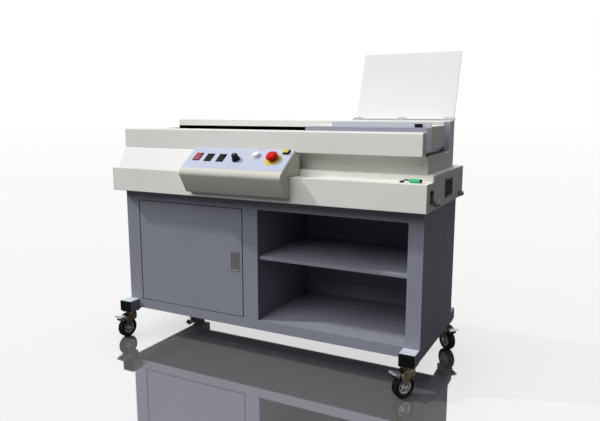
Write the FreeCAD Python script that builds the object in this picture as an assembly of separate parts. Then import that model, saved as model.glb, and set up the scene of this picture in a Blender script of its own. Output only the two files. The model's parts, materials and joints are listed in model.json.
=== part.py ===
import FreeCAD, Part
import math
import os

from FreeCAD import Vector

# Perfect binding machine: a hot-melt book binder on a castored steel cabinet.
# Millimetres, +Z up, +X to the operator's right, -Y towards the operator.
# Everything is built with X = 0 at the cabinet's middle, Y = 0 at its front face and Z = 0 on the
# ground, and moved at the end so that the origin is the bottom centre of the whole machine's box.

# ---------------------------------------------------------------- driving dimensions
FIT = 0.05              # radial running fit of a shaft in its bore
GAP = 0.3               # clearance between pieces that pass each other

# cabinet
CAB_W = 1150.0
CAB_D = 390.0
CAB_H = 425.0           # floor pan to the top of the top sheet
SHEET = 2.0             # sheet steel of the cabinet and the covers
LEFT_POST_W = 59.0
BAY_W = 524.0
CENTRE_POST_W = 60.0
RIGHT_POST_W = 48.0
TOP_RAIL_H = 36.0
DOOR_RETURN = 20.0      # depth of the folded edge round the door opening
BAY_RETURN = 9.0        # depth of the folded edge round the open bay
SKIRT = 33.0            # how far the sheets hang beside the beams

# castor beams
BEAM_W = 50.0
BEAM_H = 40.0
BEAM_WALL = 2.5
BEAM_FRONT = 50.0       # in front of the cabinet
BEAM_REAR = 62.0        # behind the cabinet
BEAM_LEFT = 13.0        # how much further out the left beam stands
CAP_T = 3.0
CAP_PLUG = 14.0

# castors
WHEEL_R = 36.5
TYRE_W = 24.0
TYRE_T = 14.0
TYRE_ROUND = 5.0
HUB_BOSS_R = 8.5
HUB_WEB_T = 7.0
HUB_RIM_T = 3.5
HUB_HOLE_R = 3.0
HUB_HOLES = 5
HUB_INSET = 1.5         # hub rim inside the tyre's side
AXLE_R = 4.0
AXLE_HEAD_R = 7.0
AXLE_HEAD_T = 4.0
CASTOR_H = 101.0        # ground to the underside of the beam
CASTOR_FRONT_IN = 29.0  # front kingpins, from the beams' front ends
CASTOR_REAR_IN = 40.0   # rear kingpins, from the beams' rear ends
CASTOR_PLATE_T = 3.0
TRAIL = 20.0
KINGPIN_R = 5.0
KINGPIN_HEAD_R = 9.0
RACE_R = 20.0
RACE_H = 8.0
FORK_T = 2.5
LEG_SPACE = 1.5         # tyre side to fork leg
LEG_EAR_R = 9.0
LEG_FOOT_R = 6.5        # round foot at the axle
LEG_SKIRT_Z = 60.0      # lower edge of the wide top of the leg
LEG_SKIRT_DROP = 8.0    # from that edge down to where the narrow foot starts
FORK_BACK = 20.0        # rear wall of the fork, behind the kingpin
KINGPIN_HEAD_T = 2.5
PEDAL_PIVOT_U = 34.0    # from the kingpin, along the trail
PEDAL_PIVOT_Z = 78.0
PEDAL_PIN_R = 3.0
PEDAL_BARREL_R = 5.2
PEDAL_T = 2.5
PEDAL_END = 62.0
PEDAL_W = 36.0
PEDAL_RISE = 5.0        # from the tread's inner edge to its outer edge
PEDAL_TIP = (50.0, 59.0, 16.0, 9.0)  # cap under the tread: from, to, width, depth
PEDAL_EAR = 3.0         # fork plate round the pedal's pin
PEDAL_NECK = 3.0        # neck beyond the fork
PEDAL_LIP = 5.0
PEDAL_TURN = 10.0       # degrees from released to braked
SHOE_ANGLE = 52.0       # degrees above the axle
SHOE_T = 4.0
SHOE_W = 20.0
CASTOR_AZIMUTHS = {     # where each wheel trails, degrees from +X
    "fl": -98.0,
    "fr": -125.0,
    "rl": -120.0,
    "rr": -41.0,
}

# door
DOOR_GAP = 3.0
DOOR_T = 18.0
DOOR_SHEET = 1.5
DOOR_PIVOT = 5.0        # hinge line, from the door's edge and from its face
DOOR_PIN_R = 2.5
DOOR_PIN_REACH = 10.0
DOOR_TURN = 105.0
PULL_W = 35.0
PULL_H = 70.0
PULL_INSET = 11.0       # pull recess to the door's free edge
PULL_UP = 162.0         # above the cabinet floor
PULL_DEPTH = 13.0
PADDLE_T = 3.0
PADDLE_GAP = 1.0
PADDLE_PIN_R = 1.5
PADDLE_PIN_DOWN = 12.0
PADDLE_TURN = 35.0
MAGNET_W = 40.0
MAGNET_T = 12.0

# bay shelf
SHELF_FRONT = 12.0
SHELF_UP = 225.0        # shelf top above the cabinet floor
SHELF_LIP = 11.0
PARTITION_BACK = 5.0    # partition to the left edge of the bay

# tray
TRAY_OVER = 17.0        # beyond the cabinet, each side
TRAY_FRONT = 48.0       # in front of the cabinet
TRAY_REAR = 14.0        # behind the cabinet
LEDGE_H = 84.0
LEDGE_D = 74.0
DECK_H = 103.0
TRAY_RIM = 30.0         # width of the tray's bottom flange inside the cabinet

# middle housing
BODY_HALF = 564.3       # half length of the housing and covers
HOUSING_Y0 = 55.0
HOUSING_Y1 = 370.0
HOUSING_H = 53.0
SLOT_X0 = -26.0
SLOT_X1 = 558.0
SLOT_Y0 = 60.0
SLOT_Y1 = 132.0
CLOSURE_H = 66.0        # left end plate above the housing

# front cover
COVER_Y0 = -5.0
COVER_Y1 = 31.0
COVER_LIFT = 2.0        # bottom wall above the housing top
COVER_H = 70.0
COVER_ROUND = 6.0
COVER_FLANGE = 44.0

# rear hood
HOOD_Y0 = 313.0
HOOD_H = 101.0
HOOD_LIP = 26.0
HOOD_ROUND = 4.0

# sloped cover
SLOPE_X1 = -239.3
SLOPE_FOOT = 46.0       # in front of the cabinet
SLOPE_BACK = 24.0
SLOPE_FRONT = 1.5       # top edge in front of the front cover

# console
CONSOLE_X0 = -239.0
CONSOLE_W = 392.5
PANEL_UP = 9.0          # panel's back edge above the front cover's underside
PANEL_L = 116.0
PANEL_TILT = 35.6       # degrees
PANEL_T = 2.0
PANEL_INSET = 3.0
CONSOLE_NOSE = 12.5     # sloped length beyond the panel
CONSOLE_ROUND = 13.0
CONSOLE_FOOT_OUT = 19.0 # in front of the tray
CONSOLE_FOOT_UP = 20.0  # above the cabinet
CONSOLE_FOOT_ROUND = 3.0
CONSOLE_WELL_RIM = 8.0  # ledge round the opening under the panel
CONSOLE_WELL_D = 30.0

# controls: (in from the panel's nearer end, down from its back edge)
ROCKER_W = 22.0         # clear opening of a rocker's frame
ROCKER_L = 33.0
ROCKER_WALL = 1.5
ROCKER_RIM = 1.5
ROCKER_RIM_T = 2.0
ROCKER_DEPTH = 14.0
ROCKER_H = 4.0
ROCKER_DISH = 2.0
ROCKER_PIN_R = 1.5
ROCKER_PIN_D = 2.5
ROCKER_TURN = 14.0
RED_ROCKER = (38.8, 52.0)
LEFT_ROCKER = (85.7, 54.0)
RIGHT_ROCKER = (134.2, 54.0)
SELECTOR = (195.2, 59.0)
SELECTOR_R = 14.0
SELECTOR_GRIP_R = 11.5
SELECTOR_SKIRT_H = 5.0
SELECTOR_H = 22.0
SELECTOR_SHAFT_R = 3.0
SELECTOR_TURN = 135.0
BUTTON_PLACE = (124.1, 37.0)
BUTTON_R = 11.0
BUTTON_H = 11.0
BUTTON_COLLAR_R = 14.0
BUTTON_COLLAR_H = 5.0
BUTTON_STEM_R = 4.0
BUTTON_TRAVEL = 4.0
ESTOP_PLACE = (54.0, 47.0)
ESTOP_R = 20.0
ESTOP_COLLAR_R = 28.0
ESTOP_COLLAR_H = 2.5
ESTOP_HEAD_H = 13.0
ESTOP_LIFT = 8.0
ESTOP_STEM_R = 9.0
ESTOP_TRAVEL = 6.0
PILOT_PLACE = (22.5, 15.0)
PILOT_W = 22.0
PILOT_L = 20.0
PILOT_H = 10.0
BUSH_WALL = 3.0
BLOCK_DEPTH = 22.0      # switch blocks under the panel
BLOCK_HALF = 12.0
BLOCK_FLOOR = 4.0
ROCKER_END_GAP = 1.0
ROCKER_CHEEK = 2.0      # depth of a rocker's ends below its frame's rim
ROCKER_KEEL = 6.0
BUTTON_FLOOR = 1.0
BUTTON_DOME = 1.0
PILOT_STEP = 2.0

# right-hand end plate
MAINS_IN = 52.0         # behind the tray's front
MAINS_UP = 43.0         # above the cabinet
MAINS_ROCKER_W = 22.0
VENT_L = 86.0
VENT_H = 56.0
VENT_IN = 158.0         # in front of the tray's rear
VENT_UP = 23.0          # above the cabinet
VENT_T = 3.0
VENT_RIM = 6.0
VENT_SLATS = 5
VENT_OPEN = 0.6         # open share of each slat's pitch
BALL_R = 9.5
BALL_OUT = 10.0         # ball centre to the plate
BALL_COLLAR_R = 6.0
BALL_STEM_R = 3.0
BALL_IN = 8.0
BALL_NUT_R = 7.0
FRONT_BALL_IN = 78.0    # behind the tray's front
FRONT_BALL_UP = 21.0    # above the cabinet
REAR_BALL_IN = 60.0     # in front of the tray's rear
REAR_BALL_UP = 15.0
BALL_TURN = 90.0

# side lever on the ledge
LEVER_IN = 85.0         # pivot to the tray's end
LEVER_BACK = 33.0       # pivot behind the tray's front
LEVER_POST_R = 3.0
LEVER_POST_H = 10.0
LEVER_BOSS_R = 6.0
LEVER_BOSS_H = 5.0
LEVER_L = 61.0
LEVER_ROD_R = 2.0
GRIP_L = 38.0
GRIP_R = 6.0
GRIP_CAP = 6.0
GRIP_CAP_R = 5.1
ROD_SEAT = 1.0          # how far the lever's rod runs into its boss and its grip
LEVER_TURN = 60.0

# carriage and clamp
JAW_X0 = 167.0
JAW_X1 = 564.0
JAW_Y0 = 33.0
JAW_T = 47.0
JAW_LIFT = 13.0         # jaw underside above the housing top
JAW_H = 72.0
PLATE_X0 = 239.0
PLATE_T = 4.0
PLATE_TOP = 101.0       # above the housing top
BLOCK_LIFT = 19.0
BLOCK_D = 165.7
BLOCK_H = 69.0
BLOCK_WALL = 4.0
CLAMP_NUT_T = 20.0      # rear wall of the block, which holds the nut
CLAMP_TRAVEL = 60.0
CARRIAGE_TRAVEL = 560.0
CROSS_LEFT_W = 50.0
CROSS_RIGHT_W = 31.0
CROSS_IN = 5.0          # cross-member to the jaw's left end
CROSS_RIGHT_IN = 24.0   # cross-member to the jaw's right end
CROSS_LIFT = 3.0
ROD_R = 8.0
FRONT_ROD_Y = 13.0
FRONT_ROD_H = 38.0      # above the housing top
REAR_ROD_Y = 342.0
REAR_ROD_H = 52.0
SCREW_R = 8.0
SCREW_H = 28.0
BEARING_HALF = 13.0
ROD_X0 = -430.0
ROD_X1 = 560.0
ROD_BRACKET_T = 12.0
ROD_BRACKET_SIDE = 6.0  # bracket and shoe beside the rear rod's bearing
SHOE_SIDE = 4.0
JAW_SEAT = 1.0          # cross-members behind the jaw's front
REAR_PLATE_T = 6.0
CLAMP_SCREW_R = 8.0
CLAMP_SCREW_H = 56.0
CLAMP_COLLAR_R = 12.0
CLAMP_COLLAR_T = 5.0
CLAMP_SPARE = 3.0       # left between block and collar when the clamp is open
CLAMP_TIP = 8.0         # left between the screw and the block's front wall
CLAMP_LEAD = 10.0
CARRIAGE_LEAD = 20.0
JAW_KNOB_X = 531.5
JAW_KNOB_Y = 57.0
JAW_KNOB_R = 12.0
JAW_KNOB_H = 11.0
JAW_KNOB_STEM_R = 4.0
JAW_KNOB_STEM = 20.0
MOTOR_W = 44.0
MOTOR_X0 = -560.0
MOTOR_GAP = 10.0        # motor to the rod bracket
MOTOR_BORE = 12.0
SCREW_END = 2.0         # screw's right end inside its bracket

# binding tools under the carriage
TOOL_TOP = 1.5          # tool tops above the housing top
ROLLER_X = 35.0
ROLLER_R = 20.0
ROLLER_SHAFT_R = 5.0
TANK_X0 = -18.0
TANK_X1 = 84.0
TANK_Y0 = 63.0
TANK_Y1 = 129.0
TANK_WALL = 3.0
TANK_FOOT = 4.0
TANK_FOOT_W = 14.0
ROLLER_SHAFT_OUT = 2.0
TANK_DROP = 8.0         # tank rim below the housing top
ROLLER_SIDE = 1.0       # roller end to the tank wall
CUTTER_X = 125.0
CUTTER_Y = 95.0
CUTTER_R = 34.0
CUTTER_T = 8.0
CUTTER_TEETH = 12
CUTTER_GULLET_R = 3.0
CUTTER_SHAFT_IN = 20.0
CUTTER_HUB_R = 12.0
CUTTER_SHAFT_R = 6.0
CUTTER_MOTOR_R = 38.0
CUTTER_MOTOR_L = 76.0
CUTTER_FLANGE_HALF = 34.0
CUTTER_FLANGE_T = 5.0
CUTTER_NOSE_R = 16.0
CUTTER_NOSE_H = 26.0
NIP_X0 = 170.0
NIP_X1 = 556.0
NIP_T = 12.0
NIP_FOOT_W = 20.0
NIP_FOOT_H = 10.0
NIP_FRONT_Y = 66.0
NIP_REAR_Y = 98.0
NIP_TRAVEL = 8.0
NIP_TOP = 0.5           # above the housing top

# support board
BOARD_X0 = 207.0
BOARD_X1 = 562.0
BOARD_L = 242.0
BOARD_T = 3.0
BOARD_LEAN = 18.0       # degrees back from upright
BOARD_TURN = 108.0
BOARD_HINGE_BACK = 2.0  # hinge line behind the hood
BOARD_HINGE_UP = 6.0    # hinge line above the hood
HINGE_X0 = 195.0
HINGE_X1 = 565.0
HINGE_R = 4.0
HINGE_PIN_R = 1.5
HINGE_LEAF_D = 17.0
HINGE_LEAF_T = 2.0
HINGE_LEAF_IN = 3.0     # leaf's edge to the hood's rear
HINGE_WEB = 6.0
HINGE_END_L = 35.0
HINGE_MID_L = 30.0

# ---------------------------------------------------------------- places worked out from the above
HALF_W = CAB_W / 2
BEAM_Z = CASTOR_H
BEAM_TOP = BEAM_Z + BEAM_H
FLOOR_TOP = BEAM_TOP + SHEET
CAB_TOP = FLOOR_TOP + CAB_H
OPEN_TOP = CAB_TOP - SHEET - TOP_RAIL_H
INNER_HALF = HALF_W - SHEET
BEAM_OUT = INNER_HALF
BEAM_IN = BEAM_OUT - BEAM_W
DOOR_OPEN_X0 = -HALF_W + LEFT_POST_W
BAY_X1 = HALF_W - RIGHT_POST_W
BAY_X0 = BAY_X1 - BAY_W
DOOR_OPEN_X1 = BAY_X0 - CENTRE_POST_W
PARTITION_X1 = BAY_X0 - PARTITION_BACK
SHELF_TOP = FLOOR_TOP + SHELF_UP
PULL_Z = FLOOR_TOP + PULL_UP
CASTOR_FRONT_Y = -BEAM_FRONT + CASTOR_FRONT_IN
CASTOR_REAR_Y = CAB_D + BEAM_REAR - CASTOR_REAR_IN
CASTOR_X = (BEAM_IN + BEAM_OUT) / 2

LEDGE_TOP = CAB_TOP + LEDGE_H
DECK_TOP = CAB_TOP + DECK_H
TRAY_HALF = HALF_W + TRAY_OVER
TRAY_Y1 = CAB_D + TRAY_REAR
RISER_Y = -TRAY_FRONT + LEDGE_D
HOUSING_TOP = DECK_TOP + HOUSING_H
COVER_Z0 = HOUSING_TOP + COVER_LIFT
COVER_TOP = COVER_Z0 + COVER_H
HOOD_TOP = HOUSING_TOP + HOOD_H

JAW_Y1 = JAW_Y0 + JAW_T
JAW_Z0 = HOUSING_TOP + JAW_LIFT
JAW_TOP = JAW_Z0 + JAW_H
PLATE_Y0 = JAW_Y1 + GAP
BLOCK_Y0 = PLATE_Y0 + PLATE_T
BLOCK_Y1 = BLOCK_Y0 + BLOCK_D
BLOCK_Z0 = HOUSING_TOP + BLOCK_LIFT
CROSS_Z0 = HOUSING_TOP + CROSS_LIFT
CROSS_LEFT = (JAW_X0 + CROSS_IN, JAW_X0 + CROSS_IN + CROSS_LEFT_W)
CROSS_RIGHT = (JAW_X1 - CROSS_RIGHT_IN - CROSS_RIGHT_W, JAW_X1 - CROSS_RIGHT_IN)
FRONT_ROD_Z = HOUSING_TOP + FRONT_ROD_H
REAR_ROD_Z = HOUSING_TOP + REAR_ROD_H
SCREW_Z = HOUSING_TOP + SCREW_H
CLAMP_Z = HOUSING_TOP + CLAMP_SCREW_H
CLAMP_X = (JAW_X0 + JAW_X1) / 2
REAR_PLATE_Y0 = BLOCK_Y1 + CLAMP_TRAVEL + CLAMP_COLLAR_T + CLAMP_SPARE
REAR_PLATE_Y1 = REAR_PLATE_Y0 + REAR_PLATE_T
TOOL_Z = HOUSING_TOP + TOOL_TOP
ROLLER_Y = (TANK_Y0 + TANK_Y1) / 2
ROLLER_Z = TOOL_Z - ROLLER_R

BOARD_HINGE_Y = HOUSING_Y1 + BOARD_HINGE_BACK
BOARD_HINGE_Z = HOOD_TOP + BOARD_HINGE_UP
TILT = math.radians(PANEL_TILT)
PANEL_TOP_Y = COVER_Y0 - GAP - PANEL_T * math.sin(TILT)
PANEL_TOP_Z = COVER_Z0 + PANEL_UP
PANEL_W = CONSOLE_W - 2 * PANEL_INSET
BUTTON = (PANEL_W - BUTTON_PLACE[0], BUTTON_PLACE[1])
ESTOP = (PANEL_W - ESTOP_PLACE[0], ESTOP_PLACE[1])
PILOT = (PANEL_W - PILOT_PLACE[0], PILOT_PLACE[1])
CONSOLE_FOOT_Y = -TRAY_FRONT - CONSOLE_FOOT_OUT
CONSOLE_FOOT_Z = CAB_TOP + CONSOLE_FOOT_UP
MAINS_Y = -TRAY_FRONT + MAINS_IN
MAINS_Z = CAB_TOP + MAINS_UP
VENT_Y1 = TRAY_Y1 - VENT_IN
VENT_Y0 = VENT_Y1 - VENT_L
VENT_Z0 = CAB_TOP + VENT_UP
VENT_Z1 = VENT_Z0 + VENT_H
FRONT_BALL = (-TRAY_FRONT + FRONT_BALL_IN, CAB_TOP + FRONT_BALL_UP)
REAR_BALL = (TRAY_Y1 - REAR_BALL_IN, CAB_TOP + REAR_BALL_UP)
LEVER_X = TRAY_HALF - LEVER_IN
LEVER_Y = -TRAY_FRONT + LEVER_BACK
AXLE_Z = WHEEL_R
YOKE_TOP = CASTOR_H - CASTOR_PLATE_T - GAP - RACE_H
YOKE_Z0 = YOKE_TOP - FORK_T
LEG_IN = TYRE_W / 2 + LEG_SPACE
LEG_OUT = LEG_IN + FORK_T

X_AXIS = Vector(1, 0, 0)
Y_AXIS = Vector(0, 1, 0)
Z_AXIS = Vector(0, 0, 1)

NODES = {}


# ---------------------------------------------------------------- helpers
def box(x0, x1, y0, y1, z0, z1):
    return Part.makeBox(x1 - x0, y1 - y0, z1 - z0, Vector(x0, y0, z0))


def rod_x(x0, x1, y, z, radius):
    return Part.makeCylinder(radius, x1 - x0, Vector(x0, y, z), X_AXIS)


def rod_y(y0, y1, x, z, radius):
    return Part.makeCylinder(radius, y1 - y0, Vector(x, y0, z), Y_AXIS)


def rod_z(z0, z1, x, y, radius):
    return Part.makeCylinder(radius, z1 - z0, Vector(x, y, z0), Z_AXIS)


def join(first, *others):
    return first.multiFuse(list(others)).removeSplitter()


def cut(shape, *tools):
    for tool in tools:
        shape = shape.cut(tool)
    return shape


def corner_arc(before, corner, after, radius):
    """The start, middle and end of the arc that rounds a corner."""
    to_before = (before - corner).normalize()
    to_after = (after - corner).normalize()
    half = math.acos(to_before.dot(to_after)) / 2
    reach = radius / math.tan(half)
    middle = (to_before + to_after).normalize()
    depth = radius / math.sin(half) - radius
    return corner + to_before * reach, corner + middle * depth, corner + to_after * reach


def outline_face(points, rounds):
    """A flat face from corner points; rounds gives the radius at some corner numbers."""
    ends = []
    edges = []
    for i, corner in enumerate(points):
        if i in rounds:
            arc = corner_arc(points[i - 1], corner, points[(i + 1) % len(points)], rounds[i])
            edges.append(Part.Arc(*arc).toShape())
            ends.append((arc[0], arc[2]))
        else:
            ends.append((corner, corner))
    for i, (start, _) in enumerate(ends):
        leave = ends[i - 1][1]
        if leave.distanceToPoint(start) > 1e-6:
            edges.append(Part.LineSegment(leave, start).toShape())
    return Part.Face(Part.Wire(Part.__sortEdges__(edges)))


def prism_x(points, x0, x1, rounds=None):
    """A solid with a (y, z) outline from x0 to x1."""
    corners = [Vector(x0, y, z) for y, z in points]
    return outline_face(corners, rounds or {}).extrude(Vector(x1 - x0, 0, 0))


def prism_y(points, y0, y1, rounds=None):
    """A solid with an (x, z) outline from y0 to y1."""
    corners = [Vector(x, y0, z) for x, z in points]
    return outline_face(corners, rounds or {}).extrude(Vector(0, y1 - y0, 0))


def turned(shape, origin, axis, degrees):
    copy = shape.copy()
    copy.rotate(origin, axis, degrees)
    return copy


def ring(outer, inner, bottom, top):
    """A round collar on the local Z axis."""
    return rod_z(bottom, top, 0, 0, outer).cut(rod_z(bottom, top, 0, 0, inner))


def revolve_y(points):
    """A round solid about the Y axis from (y, radius) points."""
    corners = [Vector(radius, y, 0) for y, radius in points]
    return outline_face(corners, {}).revolve(Vector(0, 0, 0), Y_AXIS, 360)


def revolve_z(points, rounds=None):
    """A round solid about the Z axis from (radius, z) points."""
    corners = [Vector(radius, 0, z) for radius, z in points]
    return outline_face(corners, rounds or {}).revolve(Vector(0, 0, 0), Z_AXIS, 360)


def add(name, *solids):
    NODES[name] = solids[0] if len(solids) == 1 else Part.makeCompound(list(solids))


# ---------------------------------------------------------------- castors
def castor_beam(side):
    """One square tube with its two end caps; side is -1 or 1."""
    further = BEAM_LEFT if side < 0 else 0.0
    x0, x1 = sorted((side * (BEAM_IN + further), side * (BEAM_OUT + further)))
    y0 = -BEAM_FRONT
    y1 = CAB_D + BEAM_REAR
    tube = box(x0, x1, y0 + CAP_T, y1 - CAP_T, BEAM_Z, BEAM_TOP)
    wall = BEAM_WALL
    hollow = (x0 + wall, x1 - wall, y0 + CAP_T, y1 - CAP_T, BEAM_Z + wall, BEAM_TOP - wall)
    solids = [tube.cut(box(*hollow))]
    for face, inwards in ((y0, 1), (y1, -1)):
        a, b = sorted((face, face + inwards * CAP_T))
        lid = box(x0, x1, a, b, BEAM_Z, BEAM_TOP)
        a, b = sorted((face + inwards * CAP_T, face + inwards * (CAP_T + CAP_PLUG)))
        plug = box(hollow[0], hollow[1], a, b, hollow[4], hollow[5])
        core = box(hollow[0] + wall, hollow[1] - wall, a, b, hollow[4] + wall, hollow[5] - wall)
        solids.append(join(lid, plug.cut(core)))
    return solids


def castor_plate(x, y):
    """The plate under the beam, with the riveted kingpin that the fork turns on."""
    half = BEAM_W / 2
    z1 = BEAM_Z
    plate = box(x - half, x + half, y - half, y + half, z1 - CASTOR_PLATE_T, z1)
    pin = rod_z(YOKE_Z0 - GAP - KINGPIN_HEAD_T, z1 - CASTOR_PLATE_T, x, y, KINGPIN_R)
    head = rod_z(YOKE_Z0 - GAP - KINGPIN_HEAD_T, YOKE_Z0 - GAP, x, y, KINGPIN_HEAD_R)
    return join(plate, pin, head)


def fork():
    """Ball race, yoke and two legs, in castor axes: X along the trail, Z up."""
    race = rod_z(YOKE_TOP, YOKE_TOP + RACE_H, 0, 0, RACE_R)
    yoke = join(
        rod_z(YOKE_Z0, YOKE_TOP, 0, 0, RACE_R),
        box(-FORK_BACK, TRAIL - LEG_EAR_R / 2, -LEG_OUT, LEG_OUT, YOKE_Z0, YOKE_TOP),
    )
    back_z = LEG_SKIRT_Z + FORK_BACK / 2
    back = box(-FORK_BACK, -FORK_BACK + FORK_T, -LEG_OUT, LEG_OUT, back_z, YOKE_TOP)
    ear = PEDAL_PIN_R + PEDAL_EAR
    foot_top = LEG_SKIRT_Z - LEG_SKIRT_DROP
    leg_points = [
        (-FORK_BACK, YOKE_TOP),
        (TRAIL - LEG_EAR_R / 2, YOKE_TOP),
        (PEDAL_PIVOT_U + ear * 0.7, PEDAL_PIVOT_Z + ear * 0.7),
        (PEDAL_PIVOT_U + ear, PEDAL_PIVOT_Z - ear * 0.4),
        (PEDAL_PIVOT_U, LEG_SKIRT_Z),
        (TRAIL + LEG_FOOT_R, foot_top),
        (TRAIL + LEG_FOOT_R, AXLE_Z),
        (TRAIL - LEG_FOOT_R, AXLE_Z),
        (TRAIL - LEG_FOOT_R, foot_top),
        (0, LEG_SKIRT_Z),
        (-FORK_BACK, back_z),
    ]
    legs = []
    for y0 in (-LEG_OUT, LEG_IN):
        leg = prism_y(leg_points, y0, y0 + FORK_T)
        foot = rod_y(y0, y0 + FORK_T, TRAIL, AXLE_Z, LEG_FOOT_R)
        legs.append(join(leg, foot).cut(rod_y(y0, y0 + FORK_T, TRAIL, AXLE_Z, AXLE_R)))
    pin = rod_y(-LEG_IN, LEG_IN, PEDAL_PIVOT_U, PEDAL_PIVOT_Z, PEDAL_PIN_R)
    bracket = join(race, yoke, back, *legs, pin)
    bracket = bracket.cut(rod_z(YOKE_Z0, YOKE_TOP + RACE_H, 0, 0, KINGPIN_R + FIT))
    axle = rod_y(-LEG_OUT, LEG_OUT, TRAIL, AXLE_Z, AXLE_R)
    heads = []
    for y0 in (-LEG_OUT - AXLE_HEAD_T, LEG_OUT):
        hexagon = Part.makePolygon(
            [
                Vector(
                    TRAIL + AXLE_HEAD_R * math.cos(math.radians(60 * k)),
                    y0,
                    AXLE_Z + AXLE_HEAD_R * math.sin(math.radians(60 * k)),
                )
                for k in range(7)
            ]
        )
        heads.append(Part.Face(hexagon).extrude(Vector(0, AXLE_HEAD_T, 0)))
    return bracket, join(axle, *heads)


def wheel():
    """Tyre and hub, in castor axes."""
    half = TYRE_W / 2
    rim_out = WHEEL_R - TYRE_T
    section = [
        Vector(rim_out, -half, 0),
        Vector(WHEEL_R, -half, 0),
        Vector(WHEEL_R, half, 0),
        Vector(rim_out, half, 0),
    ]
    tyre = outline_face(section, {1: TYRE_ROUND, 2: TYRE_ROUND})
    tyre = tyre.revolve(Vector(0, 0, 0), Y_AXIS, 360)
    boss = half + LEG_SPACE - GAP
    rim_half = half - HUB_INSET
    web = HUB_WEB_T / 2
    rim_in = rim_out - HUB_RIM_T
    bore = AXLE_R + FIT
    hub = revolve_y(
        [
            (-boss, bore),
            (-boss, HUB_BOSS_R),
            (-web, HUB_BOSS_R),
            (-web, rim_in),
            (-rim_half, rim_in),
            (-rim_half, rim_out),
            (rim_half, rim_out),
            (rim_half, rim_in),
            (web, rim_in),
            (web, HUB_BOSS_R),
            (boss, HUB_BOSS_R),
            (boss, bore),
        ]
    )
    hole_ring = (HUB_BOSS_R + rim_in) / 2
    for k in range(HUB_HOLES):
        angle = math.radians(360 * k / HUB_HOLES)
        x = hole_ring * math.cos(angle)
        z = hole_ring * math.sin(angle)
        hub = hub.cut(rod_y(-half, half, x, z, HUB_HOLE_R))
    solids = [tyre, hub]
    for solid in solids:
        solid.translate(Vector(TRAIL, 0, AXLE_Z))
    return solids


def pedal():
    """Brake pedal with its shoe, in castor axes, drawn released."""
    half = LEG_IN - GAP
    pivot = Vector(PEDAL_PIVOT_U, 0, PEDAL_PIVOT_Z)
    barrel = rod_y(-half, half, PEDAL_PIVOT_U, PEDAL_PIVOT_Z, PEDAL_BARREL_R)
    plate_z0 = PEDAL_PIVOT_Z + PEDAL_BARREL_R - PEDAL_T
    plate_top = plate_z0 + PEDAL_T
    neck_end = PEDAL_PIVOT_U + LEG_EAR_R + PEDAL_NECK
    neck = box(PEDAL_PIVOT_U, neck_end, -half, half, plate_z0, plate_top)
    end_z0 = plate_z0 + PEDAL_RISE
    slope = PEDAL_RISE / (PEDAL_END - neck_end)
    side = [
        (neck_end, plate_z0),
        (PEDAL_END, end_z0),
        (PEDAL_END, end_z0 + PEDAL_T),
        (neck_end, plate_top),
    ]
    tread = prism_y(side, -PEDAL_W / 2, PEDAL_W / 2)
    lip = box(
        PEDAL_END - PEDAL_T, PEDAL_END, -PEDAL_W / 2, PEDAL_W / 2, end_z0 - PEDAL_LIP, end_z0
    )
    tip_in, tip_out, tip_w, tip_h = PEDAL_TIP
    tip = prism_y(
        [
            (tip_in, plate_z0 - tip_h),
            (tip_out, plate_z0 - tip_h),
            (tip_out, plate_z0 + slope * (tip_out - neck_end) + PEDAL_T / 2),
            (tip_in, plate_z0 + slope * (tip_in - neck_end) + PEDAL_T / 2),
        ],
        -tip_w / 2,
        tip_w / 2,
    )
    # The shoe is drawn where it stands when braked, just off the tyre, then turned back.
    shoe_in = WHEEL_R + 2 * GAP
    arc = rod_y(-SHOE_W / 2, SHOE_W / 2, TRAIL, AXLE_Z, shoe_in + SHOE_T)
    arc = arc.cut(rod_y(-SHOE_W / 2, SHOE_W / 2, TRAIL, AXLE_Z, shoe_in))
    angle = math.radians(SHOE_ANGLE)
    x = TRAIL + shoe_in * math.cos(angle)
    z = AXLE_Z + shoe_in * math.sin(angle)
    shoe = arc.common(
        box(x - SHOE_T, x + SHOE_T + 1.0, -SHOE_W / 2, SHOE_W / 2, z - SHOE_T, z + 2 * SHOE_T)
    )
    shoe.rotate(pivot, Y_AXIS, -PEDAL_TURN)
    reach = shoe.BoundBox
    web = box(
        reach.XMin + SHOE_T / 2,
        reach.XMax,
        -SHOE_W / 2,
        SHOE_W / 2,
        reach.ZMax - PEDAL_T,
        plate_z0 + PEDAL_T / 5,
    )
    body = join(barrel, neck, tread, lip, tip, web, shoe)
    return body.cut(rod_y(-half, half, PEDAL_PIVOT_U, PEDAL_PIVOT_Z, PEDAL_PIN_R + FIT))


def castor_places():
    """Name, kingpin x, kingpin y and trail azimuth of each castor."""
    for name, azimuth in CASTOR_AZIMUTHS.items():
        x = CASTOR_X if name[1] == "r" else -CASTOR_X - BEAM_LEFT
        y = CASTOR_FRONT_Y if name[0] == "f" else CASTOR_REAR_Y
        yield name, x, y, azimuth


def make_castors():
    beams = castor_beam(-1) + castor_beam(1)
    plates = []
    for name, x, y, azimuth in castor_places():
        plates.append(castor_plate(x, y))
        pieces = {
            "castor_fork_": fork(),
            "castor_wheel_": wheel(),
            "castor_pedal_": [pedal()],
        }
        for prefix, solids in pieces.items():
            placed = []
            for solid in solids:
                solid = turned(solid, Vector(0, 0, 0), Z_AXIS, azimuth)
                solid.translate(Vector(x, y, 0))
                placed.append(solid)
            add(prefix + name, *placed)
    add("castor_beams", *beams, *plates)


# ---------------------------------------------------------------- cabinet
def opening_return(x0, x1, depth):
    """The folded edge behind the front sheet, down both sides and over an opening."""
    outer = box(x0 - SHEET, x1 + SHEET, SHEET, depth, FLOOR_TOP, OPEN_TOP + SHEET)
    return outer.cut(box(x0, x1, SHEET, depth, FLOOR_TOP, OPEN_TOP))


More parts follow.
